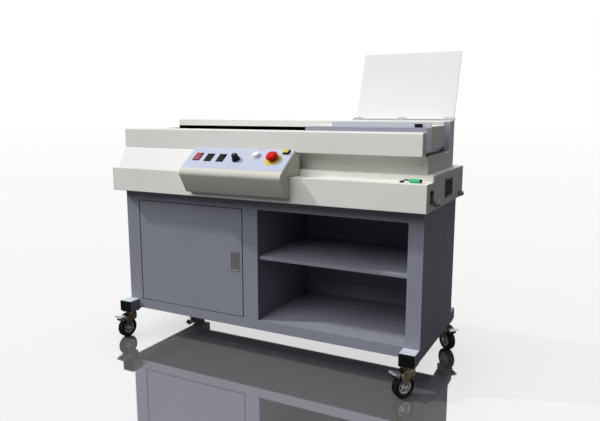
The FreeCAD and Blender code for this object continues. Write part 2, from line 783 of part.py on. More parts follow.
def make_cabinet():
    sheet_top = CAB_TOP - SHEET
    face = box(-HALF_W, HALF_W, 0, SHEET, FLOOR_TOP, sheet_top)
    face = cut(
        face,
        box(DOOR_OPEN_X0, DOOR_OPEN_X1, 0, SHEET, FLOOR_TOP, OPEN_TOP),
        box(BAY_X0, BAY_X1, 0, SHEET, FLOOR_TOP, OPEN_TOP),
    )
    hinge_x = DOOR_OPEN_X0 + DOOR_GAP + DOOR_PIVOT
    top_pin = rod_z(OPEN_TOP - DOOR_PIN_REACH, OPEN_TOP, hinge_x, DOOR_PIVOT, DOOR_PIN_R)
    add(
        "front_frame",
        join(
            face,
            opening_return(DOOR_OPEN_X0, DOOR_OPEN_X1, DOOR_RETURN),
            opening_return(BAY_X0, BAY_X1, BAY_RETURN),
            top_pin,
        ),
    )
    rear = CAB_D - SHEET
    pan = box(-INNER_HALF, INNER_HALF, 0, rear, BEAM_TOP, FLOOR_TOP)
    skirt_z = BEAM_TOP - SKIRT
    flange_x = -BEAM_IN - BEAM_LEFT
    flanges = [box(flange_x, BEAM_IN, y, y + SHEET, skirt_z, BEAM_TOP) for y in (0, rear - SHEET)]
    floor_pin = rod_z(FLOOR_TOP, FLOOR_TOP + DOOR_PIN_REACH, hinge_x, DOOR_PIVOT, DOOR_PIN_R)
    add("cabinet_floor", join(pan, *flanges, floor_pin))
    sides = [
        box(x, x + SHEET, SHEET, CAB_D, bottom, sheet_top)
        for x, bottom in ((-HALF_W, BEAM_TOP), (INNER_HALF, skirt_z))
    ]
    add("side_panels", *sides)
    add("back_panel", box(-INNER_HALF, INNER_HALF, rear, CAB_D, BEAM_TOP, sheet_top))
    partition_x0 = PARTITION_X1 - SHEET
    add("centre_partition", box(partition_x0, PARTITION_X1, SHEET, rear, FLOOR_TOP, sheet_top))
    shelf = box(PARTITION_X1, INNER_HALF, SHELF_FRONT, rear, SHELF_TOP - SHEET, SHELF_TOP)
    lip = box(
        PARTITION_X1,
        INNER_HALF,
        SHELF_FRONT,
        SHELF_FRONT + SHEET,
        SHELF_TOP - SHELF_LIP,
        SHELF_TOP,
    )
    add("bay_shelf", join(shelf, lip))
    add("cabinet_top", box(-HALF_W, HALF_W, 0, CAB_D, sheet_top, CAB_TOP))


def make_door():
    x0 = DOOR_OPEN_X0 + DOOR_GAP
    x1 = DOOR_OPEN_X1 - DOOR_GAP
    z0 = FLOOR_TOP + DOOR_GAP
    z1 = OPEN_TOP - DOOR_GAP
    wall = DOOR_SHEET
    panel = box(x0, x1, 0, DOOR_T, z0, z1)
    panel = panel.cut(box(x0 + wall, x1 - wall, wall, DOOR_T, z0 + wall, z1 - wall))
    pin_x = x0 + DOOR_PIVOT
    panel = panel.cut(rod_z(z0, z1, pin_x, DOOR_PIVOT, DOOR_PIN_R + FIT))
    pull_x1 = x1 - PULL_INSET
    pull_x0 = pull_x1 - PULL_W
    pull_z1 = PULL_Z + PULL_H
    panel = panel.cut(box(pull_x0, pull_x1, 0, wall, PULL_Z, pull_z1))
    pan = box(pull_x0, pull_x1, 0, PULL_DEPTH, PULL_Z, pull_z1)
    pan = pan.cut(
        box(pull_x0 + wall, pull_x1 - wall, 0, PULL_DEPTH - wall, PULL_Z + wall, pull_z1 - wall)
    )
    pin_z = pull_z1 - PADDLE_PIN_DOWN
    pin_y = PADDLE_T / 2 + PADDLE_PIN_R
    pan = join(pan, rod_x(pull_x0, pull_x1, pin_y, pin_z, PADDLE_PIN_R))
    add("door_panel", panel, pan)
    side = wall + PADDLE_GAP
    paddle = box(pull_x0 + side, pull_x1 - side, 0, PADDLE_T, PULL_Z + side, pull_z1 - side)
    barrel = rod_x(pull_x0 + side, pull_x1 - side, pin_y, pin_z, PADDLE_PIN_R * 2)
    barrel = barrel.common(box(pull_x0, pull_x1, 0, PULL_DEPTH, PULL_Z, pull_z1))
    hook = box(
        pull_x0 + side, pull_x1 - side, 0, PADDLE_T * 2, PULL_Z + side, PULL_Z + side + PADDLE_T
    )
    paddle = join(paddle, barrel, hook)
    paddle = paddle.cut(rod_x(pull_x0, pull_x1, pin_y, pin_z, PADDLE_PIN_R + FIT))
    add("door_pull_paddle", paddle)
    middle = (FLOOR_TOP + OPEN_TOP) / 2
    magnet = box(
        x1 - MAGNET_T,
        DOOR_OPEN_X1,
        DOOR_T + GAP,
        DOOR_RETURN,
        middle - MAGNET_W / 2,
        middle + MAGNET_W / 2,
    )
    block = box(
        x1 - MAGNET_T,
        DOOR_OPEN_X1 + SHEET,
        DOOR_RETURN,
        DOOR_RETURN + MAGNET_T,
        middle - MAGNET_W / 2,
        middle + MAGNET_W / 2,
    )
    add("magnetic_catch", join(magnet, block))


# ---------------------------------------------------------------- tray, housing and covers
def make_tray():
    y0 = -TRAY_FRONT
    half = TRAY_HALF - SHEET
    z0 = CAB_TOP
    rim = box(-half, half, y0, TRAY_Y1, z0, z0 + SHEET)
    rim = rim.cut(
        box(
            -HALF_W + TRAY_RIM,
            HALF_W - TRAY_RIM,
            TRAY_RIM,
            CAB_D - TRAY_RIM,
            z0,
            z0 + SHEET,
        )
    )
    front = box(-half, half, y0, y0 + SHEET, z0, LEDGE_TOP)
    ledge = box(-half, half, y0, RISER_Y, LEDGE_TOP - SHEET, LEDGE_TOP)
    riser = box(-half, half, RISER_Y - SHEET, RISER_Y, LEDGE_TOP - SHEET, DECK_TOP)
    deck = box(-half, half, RISER_Y - SHEET, TRAY_Y1, DECK_TOP - SHEET, DECK_TOP)
    back = box(-half, half, TRAY_Y1 - SHEET, TRAY_Y1, z0, DECK_TOP)
    post = rod_z(LEDGE_TOP, LEDGE_TOP + LEVER_POST_H, LEVER_X, LEVER_Y, LEVER_POST_R)
    shell = join(rim, front, ledge, riser, deck, back, post)
    hole = rod_z(DECK_TOP - SHEET, DECK_TOP, CUTTER_X, CUTTER_Y, CUTTER_NOSE_R)
    add("tray_shell", shell.cut(hole))
    outline = [
        (y0, z0),
        (TRAY_Y1, z0),
        (TRAY_Y1, DECK_TOP),
        (RISER_Y, DECK_TOP),
        (RISER_Y, LEDGE_TOP),
        (y0, LEDGE_TOP),
    ]
    left = prism_x(outline, -TRAY_HALF, -half)
    right = prism_x(outline, half, TRAY_HALF)
    switch_w, switch_l = mains_body_size()
    right = cut(
        right,
        box(
            half,
            TRAY_HALF,
            MAINS_Y - switch_w / 2,
            MAINS_Y + switch_w / 2,
            MAINS_Z - switch_l / 2,
            MAINS_Z + switch_l / 2,
        ),
        box(
            half,
            TRAY_HALF,
            VENT_Y0 + VENT_RIM,
            VENT_Y1 - VENT_RIM,
            VENT_Z0 + VENT_RIM,
            VENT_Z1 - VENT_RIM,
        ),
    )
    for y, z in (FRONT_BALL, REAR_BALL):
        right = right.cut(rod_x(half, TRAY_HALF, y, z, BALL_STEM_R + FIT))
    add("tray_end_plates", left, right)


def make_housing():
    half = BODY_HALF
    z0 = DECK_TOP
    shell = box(-half, half, HOUSING_Y0, HOUSING_Y1, z0, HOUSING_TOP)
    inner_y = (HOUSING_Y0 + SHEET, HOUSING_Y1 - SHEET)
    shell = cut(
        shell,
        box(-half + SHEET, half - SHEET, *inner_y, z0, HOUSING_TOP - SHEET),
        box(SLOT_X0, SLOT_X1, SLOT_Y0, SLOT_Y1, HOUSING_TOP - SHEET, HOUSING_TOP),
    )
    closure = box(
        -half, -half + SHEET, COVER_Y1 + GAP, HOOD_Y0, HOUSING_TOP, HOUSING_TOP + CLOSURE_H
    )
    foot = box(-half, -half + SHEET, HOUSING_Y0, HOOD_Y0, DECK_TOP, HOUSING_TOP)
    closure = closure.cut(
        box(-half, half, COVER_Y1, HOUSING_Y0 + COVER_FLANGE, HOUSING_TOP, COVER_Z0 + SHEET)
    )
    add("middle_housing", join(shell, foot, closure))


def make_front_cover():
    half = BODY_HALF
    y0, y1 = COVER_Y0, COVER_Y1
    outer = prism_x(
        [(y0, COVER_Z0), (y1, COVER_Z0), (y1, COVER_TOP), (y0, COVER_TOP)],
        -half,
        half,
        {3: COVER_ROUND},
    )
    inner = prism_x(
        [
            (y0 + SHEET, COVER_Z0 + SHEET),
            (y1, COVER_Z0 + SHEET),
            (y1, COVER_TOP - SHEET),
            (y0 + SHEET, COVER_TOP - SHEET),
        ],
        -half + SHEET,
        half - SHEET,
        {3: COVER_ROUND - SHEET},
    )
    lip = box(-half, half, y1 - SHEET, y1, HOUSING_TOP, COVER_Z0 + SHEET)
    flange = box(-half, half, y1 - SHEET, y1 + COVER_FLANGE, HOUSING_TOP, HOUSING_TOP + SHEET)
    slot = box(SLOT_X0, SLOT_X1, SLOT_Y0, SLOT_Y1, HOUSING_TOP, HOUSING_TOP + SHEET)
    add("front_cover", join(outer.cut(inner), lip, flange).cut(slot))


def make_rear_hood():
    half = BODY_HALF
    outline = [
        (HOOD_Y0, HOUSING_TOP),
        (HOUSING_Y1, HOUSING_TOP),
        (HOUSING_Y1, HOOD_TOP),
        (HOOD_Y0, HOOD_TOP),
    ]
    outer = prism_x(outline, -half, half, {3: HOOD_ROUND})
    inner = prism_x(
        [
            (HOOD_Y0 + SHEET, HOUSING_TOP),
            (HOUSING_Y1 - SHEET, HOUSING_TOP),
            (HOUSING_Y1 - SHEET, HOOD_TOP - SHEET),
            (HOOD_Y0 + SHEET, HOOD_TOP - SHEET),
        ],
        -half + SHEET,
        half - SHEET,
        {3: HOOD_ROUND - SHEET},
    )
    mouth = box(
        -half + SHEET, half - SHEET, HOOD_Y0, HOOD_Y0 + SHEET, HOUSING_TOP, HOOD_TOP - HOOD_LIP
    )
    add("rear_hood", cut(outer, inner, mouth))


def make_sloped_cover():
    x0 = -BODY_HALF
    top = COVER_Z0
    foot = -SLOPE_FOOT
    front_top = COVER_Y0 - SLOPE_FRONT
    outline = [(foot, LEDGE_TOP), (SLOPE_BACK, LEDGE_TOP), (SLOPE_BACK, top), (front_top, top)]
    outer = prism_x(outline, x0, SLOPE_X1)
    rise = top - LEDGE_TOP
    run = front_top - foot
    skew = SHEET * math.hypot(rise, run) / rise
    inner = prism_x(
        [
            (foot + skew, LEDGE_TOP),
            (SLOPE_BACK - SHEET, LEDGE_TOP),
            (SLOPE_BACK - SHEET, top - SHEET),
            (front_top + skew - SHEET * run / rise, top - SHEET),
        ],
        x0 + SHEET,
        SLOPE_X1 - SHEET,
    )
    add("sloped_cover", outer.cut(inner))


# ---------------------------------------------------------------- console and its controls
def on_panel(shape, place):
    """Moves a control from its own axes (Z off the panel) to its place on the sloped panel."""
    along, down = place
    shape = turned(shape, Vector(0, 0, 0), X_AXIS, PANEL_TILT)
    shape.translate(
        Vector(
            CONSOLE_X0 + PANEL_INSET + along,
            PANEL_TOP_Y - down * math.cos(TILT),
            PANEL_TOP_Z - down * math.sin(TILT),
        )
    )
    return shape


def make_console():
    x0 = CONSOLE_X0
    x1 = CONSOLE_X0 + CONSOLE_W
    slope = (math.cos(TILT), math.sin(TILT))
    nose = PANEL_L + CONSOLE_NOSE
    sunk = (PANEL_T * math.sin(TILT), -PANEL_T * math.cos(TILT))
    top = (PANEL_TOP_Y, PANEL_TOP_Z)
    tip = (top[0] - nose * slope[0], top[1] - nose * slope[1])
    tray_face = -TRAY_FRONT - GAP
    back = SLOPE_BACK - SHEET
    outline = [
        (back, LEDGE_TOP),
        (back, COVER_Z0 - GAP),
        (top[0], COVER_Z0 - GAP),
        top,
        tip,
        (CONSOLE_FOOT_Y, CONSOLE_FOOT_Z),
        (tray_face, CONSOLE_FOOT_Z),
        (tray_face, LEDGE_TOP),
    ]
    outer = prism_x(outline, x0, x1, {4: CONSOLE_ROUND, 5: CONSOLE_FOOT_ROUND})
    wall = SHEET
    deep = wall + PANEL_T
    inner_top = (top[0], top[1] - deep / math.cos(TILT))
    inner_tip = (tip[0] + deep * 1.4, tip[1] + wall - deep * 0.4)
    inner = prism_x(
        [
            (back - wall, LEDGE_TOP + wall),
            (back - wall, COVER_Z0 - GAP - wall),
            (top[0], COVER_Z0 - GAP - wall),
            inner_top,
            inner_tip,
            (CONSOLE_FOOT_Y + wall, CONSOLE_FOOT_Z + wall),
            (tray_face - wall, CONSOLE_FOOT_Z + wall),
            (tray_face - wall, LEDGE_TOP + wall),
        ],
        x0 + wall,
        x1 - wall,
    )
    shell = outer.cut(inner)
    seat = box(0, PANEL_W, -PANEL_L, 0, -PANEL_T, PANEL_T)
    rim = CONSOLE_WELL_RIM
    well = box(wall, PANEL_W - wall, -PANEL_L + rim, -rim, -CONSOLE_WELL_D, 0)
    shell = cut(shell, on_panel(seat, (0, 0)), on_panel(well, (0, 0)))
    add("console_shell", shell)
    plate = box(0, PANEL_W, -PANEL_L, 0, -PANEL_T, 0)
    plate = on_panel(plate, (0, 0))
    rocker_l = ROCKER_L / 2 + ROCKER_WALL
    rocker_w = ROCKER_W / 2 + ROCKER_WALL
    for place in (RED_ROCKER, LEFT_ROCKER, RIGHT_ROCKER):
        hole = box(-rocker_w, rocker_w, -rocker_l, rocker_l, -PANEL_T, 0)
        plate = plate.cut(on_panel(hole, place))
    for place, radius in (
        (SELECTOR, SELECTOR_SHAFT_R + BUSH_WALL),
        (BUTTON, BUTTON_STEM_R + BUSH_WALL),
        (ESTOP, ESTOP_STEM_R + BUSH_WALL),
    ):
        plate = plate.cut(on_panel(rod_z(-PANEL_T, 0, 0, 0, radius), place))
    add("console_plate", plate)


def rocker_frame(pin_depth):
    """The frame and box that a rocker sits in, on the local Z axis."""
    inner_w = ROCKER_W / 2
    inner_l = ROCKER_L / 2
    wall = ROCKER_WALL
    rim = wall + ROCKER_RIM
    body = box(-inner_w - wall, inner_w + wall, -inner_l - wall, inner_l + wall, -ROCKER_DEPTH, 0)
    flange = box(-inner_w - rim, inner_w + rim, -inner_l - rim, inner_l + rim, 0, ROCKER_RIM_T)
    hollow = box(-inner_w, inner_w, -inner_l, inner_l, -ROCKER_DEPTH + wall, ROCKER_RIM_T)
    frame = join(body, flange).cut(hollow)
    reach = inner_w + wall
    return frame.cut(rod_x(-reach, reach, 0, -pin_depth, ROCKER_PIN_R + FIT))


def rocker(pin_depth):
    """A rocker tipped to its off side, on the local Z axis."""
    half_l = ROCKER_L / 2 - ROCKER_END_GAP
    half_w = ROCKER_W / 2 - GAP
    top = ROCKER_H
    outline = [
        (-half_l, top),
        (0, top - ROCKER_DISH),
        (half_l, top),
        (half_l, -ROCKER_CHEEK),
        (half_l / 2, -ROCKER_KEEL),
        (-half_l / 2, -ROCKER_KEEL),
        (-half_l, -ROCKER_CHEEK),
    ]
    body = prism_x(outline, -half_w, half_w)
    reach = ROCKER_W / 2 + ROCKER_WALL - GAP
    body = join(body, rod_x(-reach, reach, 0, -pin_depth, ROCKER_PIN_R))
    return turned(body, Vector(0, 0, -pin_depth), X_AXIS, ROCKER_TURN / 2)


def switch_block(stem_radius, floor):
    """A bush through the panel and the switch block below it, bored for a stem."""
    bush = rod_z(-PANEL_T, 0, 0, 0, stem_radius + BUSH_WALL)
    block = box(-BLOCK_HALF, BLOCK_HALF, -BLOCK_HALF, BLOCK_HALF, -BLOCK_DEPTH, -PANEL_T)
    return join(bush, block).cut(rod_z(floor, 0, 0, 0, stem_radius + FIT))


def make_controls():
    frames = []
    for name, place in (
        ("rocker_red", RED_ROCKER),
        ("rocker_black_left", LEFT_ROCKER),
        ("rocker_black_right", RIGHT_ROCKER),
    ):
        frames.append(on_panel(rocker_frame(ROCKER_PIN_D), place))
        add(name, on_panel(rocker(ROCKER_PIN_D), place))
    stem_floor = -BLOCK_DEPTH + BLOCK_FLOOR
    frames.append(on_panel(switch_block(SELECTOR_SHAFT_R, stem_floor), SELECTOR))
    button_block = join(
        switch_block(BUTTON_STEM_R, stem_floor),
        ring(BUTTON_COLLAR_R, BUTTON_R + GAP, 0, BUTTON_COLLAR_H),
        ring(BUTTON_R + GAP, BUTTON_STEM_R + FIT, 0, BUTTON_FLOOR),
    )
    frames.append(on_panel(button_block, BUTTON))
    frames.append(on_panel(switch_block(ESTOP_STEM_R, stem_floor), ESTOP))
    collar = revolve_z(
        [
            (ESTOP_STEM_R + FIT, 0),
            (ESTOP_COLLAR_R, 0),
            (ESTOP_COLLAR_R - 2.0, ESTOP_COLLAR_H),
            (ESTOP_STEM_R + FIT, ESTOP_COLLAR_H),
        ]
    )
    frames.append(on_panel(collar, ESTOP))
    half_w, half_l = PILOT_W / 2, PILOT_L / 2
    base = box(-half_w, half_w, -half_l, half_l, 0, PILOT_H / 2)
    half_w, half_l = half_w - PILOT_STEP, half_l - PILOT_STEP
    lens = box(-half_w, half_w, -half_l, half_l, PILOT_H / 2, PILOT_H)
    add("control_fittings", *frames, on_panel(base, PILOT), on_panel(lens, PILOT))
    stem_bottom = stem_floor + GAP
    skirt = revolve_z(
        [
            (0, GAP),
            (SELECTOR_R, GAP),
            (SELECTOR_R, SELECTOR_SKIRT_H),
            (SELECTOR_GRIP_R, SELECTOR_SKIRT_H + 1.5),
            (SELECTOR_GRIP_R - 1.0, SELECTOR_H),
            (0, SELECTOR_H),
        ],
        {4: 1.0},
    )
    stem = rod_z(stem_bottom, GAP, 0, 0, SELECTOR_SHAFT_R)
    add("selector_knob", on_panel(join(skirt, stem), SELECTOR))
    cap_z = BUTTON_FLOOR + BUTTON_TRAVEL + GAP
    cap = revolve_z(
        [(0, cap_z), (BUTTON_R, cap_z), (BUTTON_R, BUTTON_H), (0, BUTTON_H + BUTTON_DOME)]
    )
    stem = rod_z(stem_bottom + BUTTON_TRAVEL, cap_z, 0, 0, BUTTON_STEM_R)
    add("push_button", on_panel(join(cap, stem), BUTTON))
    head_z = ESTOP_COLLAR_H + ESTOP_LIFT
    head = revolve_z(
        [
            (0, head_z),
            (ESTOP_R - 2.0, head_z),
            (ESTOP_R, head_z + 3.0),
            (ESTOP_R, head_z + ESTOP_HEAD_H * 0.55),
            (ESTOP_R * 0.55, head_z + ESTOP_HEAD_H),
            (0, head_z + ESTOP_HEAD_H),
        ],
        {3: 4.0, 4: 4.0},
    )
    stem = rod_z(stem_bottom + ESTOP_TRAVEL, head_z, 0, 0, ESTOP_STEM_R)
    add("emergency_stop", on_panel(join(head, stem), ESTOP))


# ---------------------------------------------------------------- right-hand end plate
def mains_body_size():
    """Width and length of the mains switch's body, through the end plate."""
    return MAINS_ROCKER_W + 2 * ROCKER_WALL, ROCKER_L + 2 * ROCKER_WALL


def on_end_plate(shape, y, z):
    """Moves a fitting from its own axes (Z off the plate, Y along the machine's Y)."""
    shape = turned(shape, Vector(0, 0, 0), Y_AXIS, 90)
    shape.translate(Vector(TRAY_HALF, y, z))
    return shape


def make_end_fittings():
    for name, fitting in (
        ("mains_switch_housing", rocker_frame(ROCKER_PIN_D)),
        ("mains_rocker", rocker(ROCKER_PIN_D)),
    ):
        upright = turned(fitting, Vector(0, 0, 0), Z_AXIS, 90)
        add(name, on_end_plate(upright, MAINS_Y, MAINS_Z))
    grille = box(TRAY_HALF, TRAY_HALF + VENT_T, VENT_Y0, VENT_Y1, VENT_Z0, VENT_Z1)
    pitch = (VENT_Z1 - VENT_Z0 - 2 * VENT_RIM) / VENT_SLATS
    for k in range(VENT_SLATS):
        z0 = VENT_Z0 + VENT_RIM + (k + (1 - VENT_OPEN) / 2) * pitch
        grille = grille.cut(
            box(
                TRAY_HALF,
                TRAY_HALF + VENT_T,
                VENT_Y0 + VENT_RIM,
                VENT_Y1 - VENT_RIM,
                z0,
                z0 + pitch * VENT_OPEN,
            )
        )
    add("vent_grille", grille)
    for name, (y, z) in (("side_knob_front", FRONT_BALL), ("side_knob_rear", REAR_BALL)):
        ball = Part.makeSphere(BALL_R, Vector(TRAY_HALF + BALL_OUT, y, z))
        collar = rod_x(TRAY_HALF + GAP, TRAY_HALF + BALL_OUT, y, z, BALL_COLLAR_R)
        inner = TRAY_HALF - SHEET
        stem = rod_x(inner - BALL_IN, TRAY_HALF + GAP, y, z, BALL_STEM_R)
        cam = box(inner - BALL_IN, inner - GAP, y - BALL_STEM_R, y + BALL_STEM_R, z - BALL_NUT_R, z)
        add(name, join(ball, collar, stem, cam))


def make_side_lever():
    z0 = LEDGE_TOP + GAP
    boss_top = z0 + LEVER_BOSS_H
    boss = rod_z(z0, boss_top, LEVER_X, LEVER_Y, LEVER_BOSS_R)
    boss = boss.cut(rod_z(z0, boss_top, LEVER_X, LEVER_Y, LEVER_POST_R + FIT))
    grip_x1 = LEVER_X + LEVER_L
    grip_x0 = grip_x1 - GRIP_L
    grip_z = z0 + GRIP_R
    arm_z = z0 + LEVER_BOSS_H / 2
    arm_x0 = LEVER_X + LEVER_BOSS_R - ROD_SEAT
    arm = rod_x(arm_x0, grip_x0 + ROD_SEAT, LEVER_Y, arm_z, LEVER_ROD_R)
    grip = rod_x(grip_x0, grip_x1 - GRIP_CAP, LEVER_Y, grip_z, GRIP_R)
    cap = rod_x(grip_x1 - GRIP_CAP, grip_x1, LEVER_Y, grip_z, GRIP_CAP_R)
    add("side_lever", join(boss, arm), grip.cut(arm), cap)


# ---------------------------------------------------------------- carriage, clamp and drives
def make_rods():
    z0 = COVER_Z0 + SHEET
    front = [rod_x(ROD_X0, ROD_X1, FRONT_ROD_Y, FRONT_ROD_Z, ROD_R)]
    rear = [rod_x(ROD_X0, ROD_X1, REAR_ROD_Y, REAR_ROD_Z, ROD_R)]
    half = BEARING_HALF
    wide = half + ROD_BRACKET_SIDE
    for x in (ROD_X0, ROD_X1 - ROD_BRACKET_T):
        x1 = x + ROD_BRACKET_T
        front.append(box(x, x1, FRONT_ROD_Y - half, FRONT_ROD_Y + half, z0, FRONT_ROD_Z + half))
        stand = box(x, x1, REAR_ROD_Y - wide, REAR_ROD_Y + wide, HOUSING_TOP, REAR_ROD_Z + half)
        rear.append(stand.cut(rod_x(x, x1, REAR_ROD_Y, SCREW_Z, SCREW_R + FIT)))
    add("guide_rods", join(*front), join(*rear))


def make_carriage():
    bars = []
    for x0, x1 in (CROSS_LEFT, CROSS_RIGHT):
        bars.append(box(x0, x1, JAW_Y0 + JAW_SEAT, REAR_PLATE_Y1, CROSS_Z0, JAW_Z0))
        bars.append(box(x0, x1, BLOCK_Y0, REAR_PLATE_Y1, CROSS_Z0, BLOCK_Z0 - GAP))
        half = BEARING_HALF
        bearing = box(x0, x1, FRONT_ROD_Y - half, JAW_Y0, FRONT_ROD_Z - half, FRONT_ROD_Z + half)
        bars.append(bearing.cut(rod_x(x0, x1, FRONT_ROD_Y, FRONT_ROD_Z, ROD_R + FIT)))
        wide = half + SHOE_SIDE
        shoe = box(x0, x1, REAR_PLATE_Y0, REAR_ROD_Y + wide, CROSS_Z0, REAR_ROD_Z + half)
        shoe = shoe.cut(rod_x(x0, x1, REAR_ROD_Y, REAR_ROD_Z, ROD_R + FIT))
        bars.append(shoe.cut(rod_x(x0, x1, REAR_ROD_Y, SCREW_Z, SCREW_R + FIT)))
    bars.append(
        box(
            CROSS_LEFT[0],
            CROSS_RIGHT[1],
            REAR_PLATE_Y0,
            REAR_PLATE_Y1,
            BLOCK_Z0,
            REAR_ROD_Z + BEARING_HALF,
        )
    )
    bore = rod_y(REAR_PLATE_Y0, REAR_PLATE_Y1, CLAMP_X, CLAMP_Z, CLAMP_SCREW_R + FIT)
    add("carriage_frame", *[s for s in join(*bars).cut(bore).Solids])
    jaw = box(JAW_X0, JAW_X1, JAW_Y0, JAW_Y1, JAW_Z0, JAW_TOP)
    knob_floor = JAW_TOP - JAW_KNOB_STEM - GAP
    add(
        "front_jaw",
        jaw.cut(rod_z(knob_floor, JAW_TOP, JAW_KNOB_X, JAW_KNOB_Y, JAW_KNOB_STEM_R + FIT)),
    )
    knob = rod_z(JAW_TOP + GAP, JAW_TOP + JAW_KNOB_H, JAW_KNOB_X, JAW_KNOB_Y, JAW_KNOB_R)
    stem = rod_z(
        JAW_TOP - JAW_KNOB_STEM, JAW_TOP + GAP, JAW_KNOB_X, JAW_KNOB_Y, JAW_KNOB_STEM_R
    )
    add("jaw_knob", join(knob, stem))
    block_top = BLOCK_Z0 + BLOCK_H
    block = box(JAW_X0, JAW_X1, BLOCK_Y0, BLOCK_Y1, BLOCK_Z0, block_top)
    wall = BLOCK_WALL
    block = block.cut(
        box(
            JAW_X0 + wall,
            JAW_X1 - wall,
            BLOCK_Y0 + wall,
            BLOCK_Y1 - CLAMP_NUT_T,
            BLOCK_Z0 + wall,
            block_top - wall,
        )
    )
    screw_tip = BLOCK_Y0 + wall + CLAMP_TRAVEL + CLAMP_TIP
    nut = BLOCK_Y1 - CLAMP_NUT_T
    block = block.cut(rod_y(nut, BLOCK_Y1, CLAMP_X, CLAMP_Z, CLAMP_SCREW_R + FIT))
    add("jaw_block", block)
    plate_top = HOUSING_TOP + PLATE_TOP
    add("jaw_plate", box(PLATE_X0, JAW_X1, PLATE_Y0, BLOCK_Y0, BLOCK_Z0, plate_top))
    screw_end = REAR_PLATE_Y1 + GAP + CLAMP_COLLAR_T
    screw = rod_y(screw_tip, screw_end, CLAMP_X, CLAMP_Z, CLAMP_SCREW_R)
    near = REAR_PLATE_Y0 - GAP
    collar_front = rod_y(near - CLAMP_COLLAR_T, near, CLAMP_X, CLAMP_Z, CLAMP_COLLAR_R)
    collar_rear = rod_y(REAR_PLATE_Y1 + GAP, screw_end, CLAMP_X, CLAMP_Z, CLAMP_COLLAR_R)
    add("clamp_screw", join(screw, collar_front, collar_rear))


def make_drives():
    motor_x1 = ROD_X0 - MOTOR_GAP
    half = MOTOR_W / 2
    motor = box(
        MOTOR_X0, motor_x1, REAR_ROD_Y - half, REAR_ROD_Y + half, HOUSING_TOP, SCREW_Z + half
    )
    depth = motor_x1 - MOTOR_BORE
    motor = motor.cut(rod_x(depth, motor_x1, REAR_ROD_Y, SCREW_Z, SCREW_R + FIT))
    add("carriage_screw", rod_x(depth + GAP, ROD_X1 - SCREW_END, REAR_ROD_Y, SCREW_Z, SCREW_R))
    under = DECK_TOP - SHEET
    can = rod_z(under - CUTTER_MOTOR_L, under, CUTTER_X, CUTTER_Y, CUTTER_MOTOR_R)
    nose_top = DECK_TOP + CUTTER_NOSE_H
    nose = rod_z(under, nose_top, CUTTER_X, CUTTER_Y, CUTTER_NOSE_R)
    hole_floor = under - CUTTER_SHAFT_IN
    hole = rod_z(hole_floor, nose_top, CUTTER_X, CUTTER_Y, CUTTER_SHAFT_R + FIT)
    add("drive_motors", motor, join(can, nose).cut(hole))
    cutter = rod_z(TOOL_Z - CUTTER_T, TOOL_Z, CUTTER_X, CUTTER_Y, CUTTER_R)
    for k in range(CUTTER_TEETH):
        angle = math.radians(360 * k / CUTTER_TEETH)
        x = CUTTER_X + CUTTER_R * math.cos(angle)
        y = CUTTER_Y + CUTTER_R * math.sin(angle)
        cutter = cutter.cut(rod_z(TOOL_Z - CUTTER_T, TOOL_Z, x, y, CUTTER_GULLET_R))
    hub = rod_z(nose_top + GAP, TOOL_Z - CUTTER_T, CUTTER_X, CUTTER_Y, CUTTER_HUB_R)
    shaft = rod_z(hole_floor + GAP, nose_top + GAP, CUTTER_X, CUTTER_Y, CUTTER_SHAFT_R)
    add("milling_cutter", join(cutter, hub, shaft))


def make_tools():
    rim = HOUSING_TOP - TANK_DROP
    floor = DECK_TOP + TANK_FOOT
    wall = TANK_WALL
    tank = box(TANK_X0, TANK_X1, TANK_Y0, TANK_Y1, floor, rim)
    tank = tank.cut(
        box(TANK_X0 + wall, TANK_X1 - wall, TANK_Y0 + wall, TANK_Y1 - wall, floor + wall, rim)
    )
    tank = tank.cut(rod_y(TANK_Y0, TANK_Y1, ROLLER_X, ROLLER_Z, ROLLER_SHAFT_R + FIT))
    side = TANK_FOOT_W
    feet = [
        box(x, x + side, y, y + side, DECK_TOP, floor)
        for x in (TANK_X0, TANK_X1 - side)
        for y in (TANK_Y0, TANK_Y1 - side)
    ]
    add("glue_tank", join(tank, *feet))
    inner0 = TANK_Y0 + wall + ROLLER_SIDE
    inner1 = TANK_Y1 - wall - ROLLER_SIDE
    roller = rod_y(inner0, inner1, ROLLER_X, ROLLER_Z, ROLLER_R)
    out = ROLLER_SHAFT_OUT
    shaft = rod_y(TANK_Y0 - out, TANK_Y1 + out, ROLLER_X, ROLLER_Z, ROLLER_SHAFT_R)
    add("glue_roller", join(roller, shaft))
    top = HOUSING_TOP + NIP_TOP
    z0 = DECK_TOP + GAP
    for name, y, foot_y in (
        ("nip_plate_front", NIP_FRONT_Y, NIP_FRONT_Y + NIP_T - NIP_FOOT_W),
        ("nip_plate_rear", NIP_REAR_Y, NIP_REAR_Y),
    ):
        upright = box(NIP_X0, NIP_X1, y, y + NIP_T, z0, top)
        foot = box(NIP_X0, NIP_X1, foot_y, foot_y + NIP_FOOT_W, z0, z0 + NIP_FOOT_H)
        add(name, join(upright, foot))


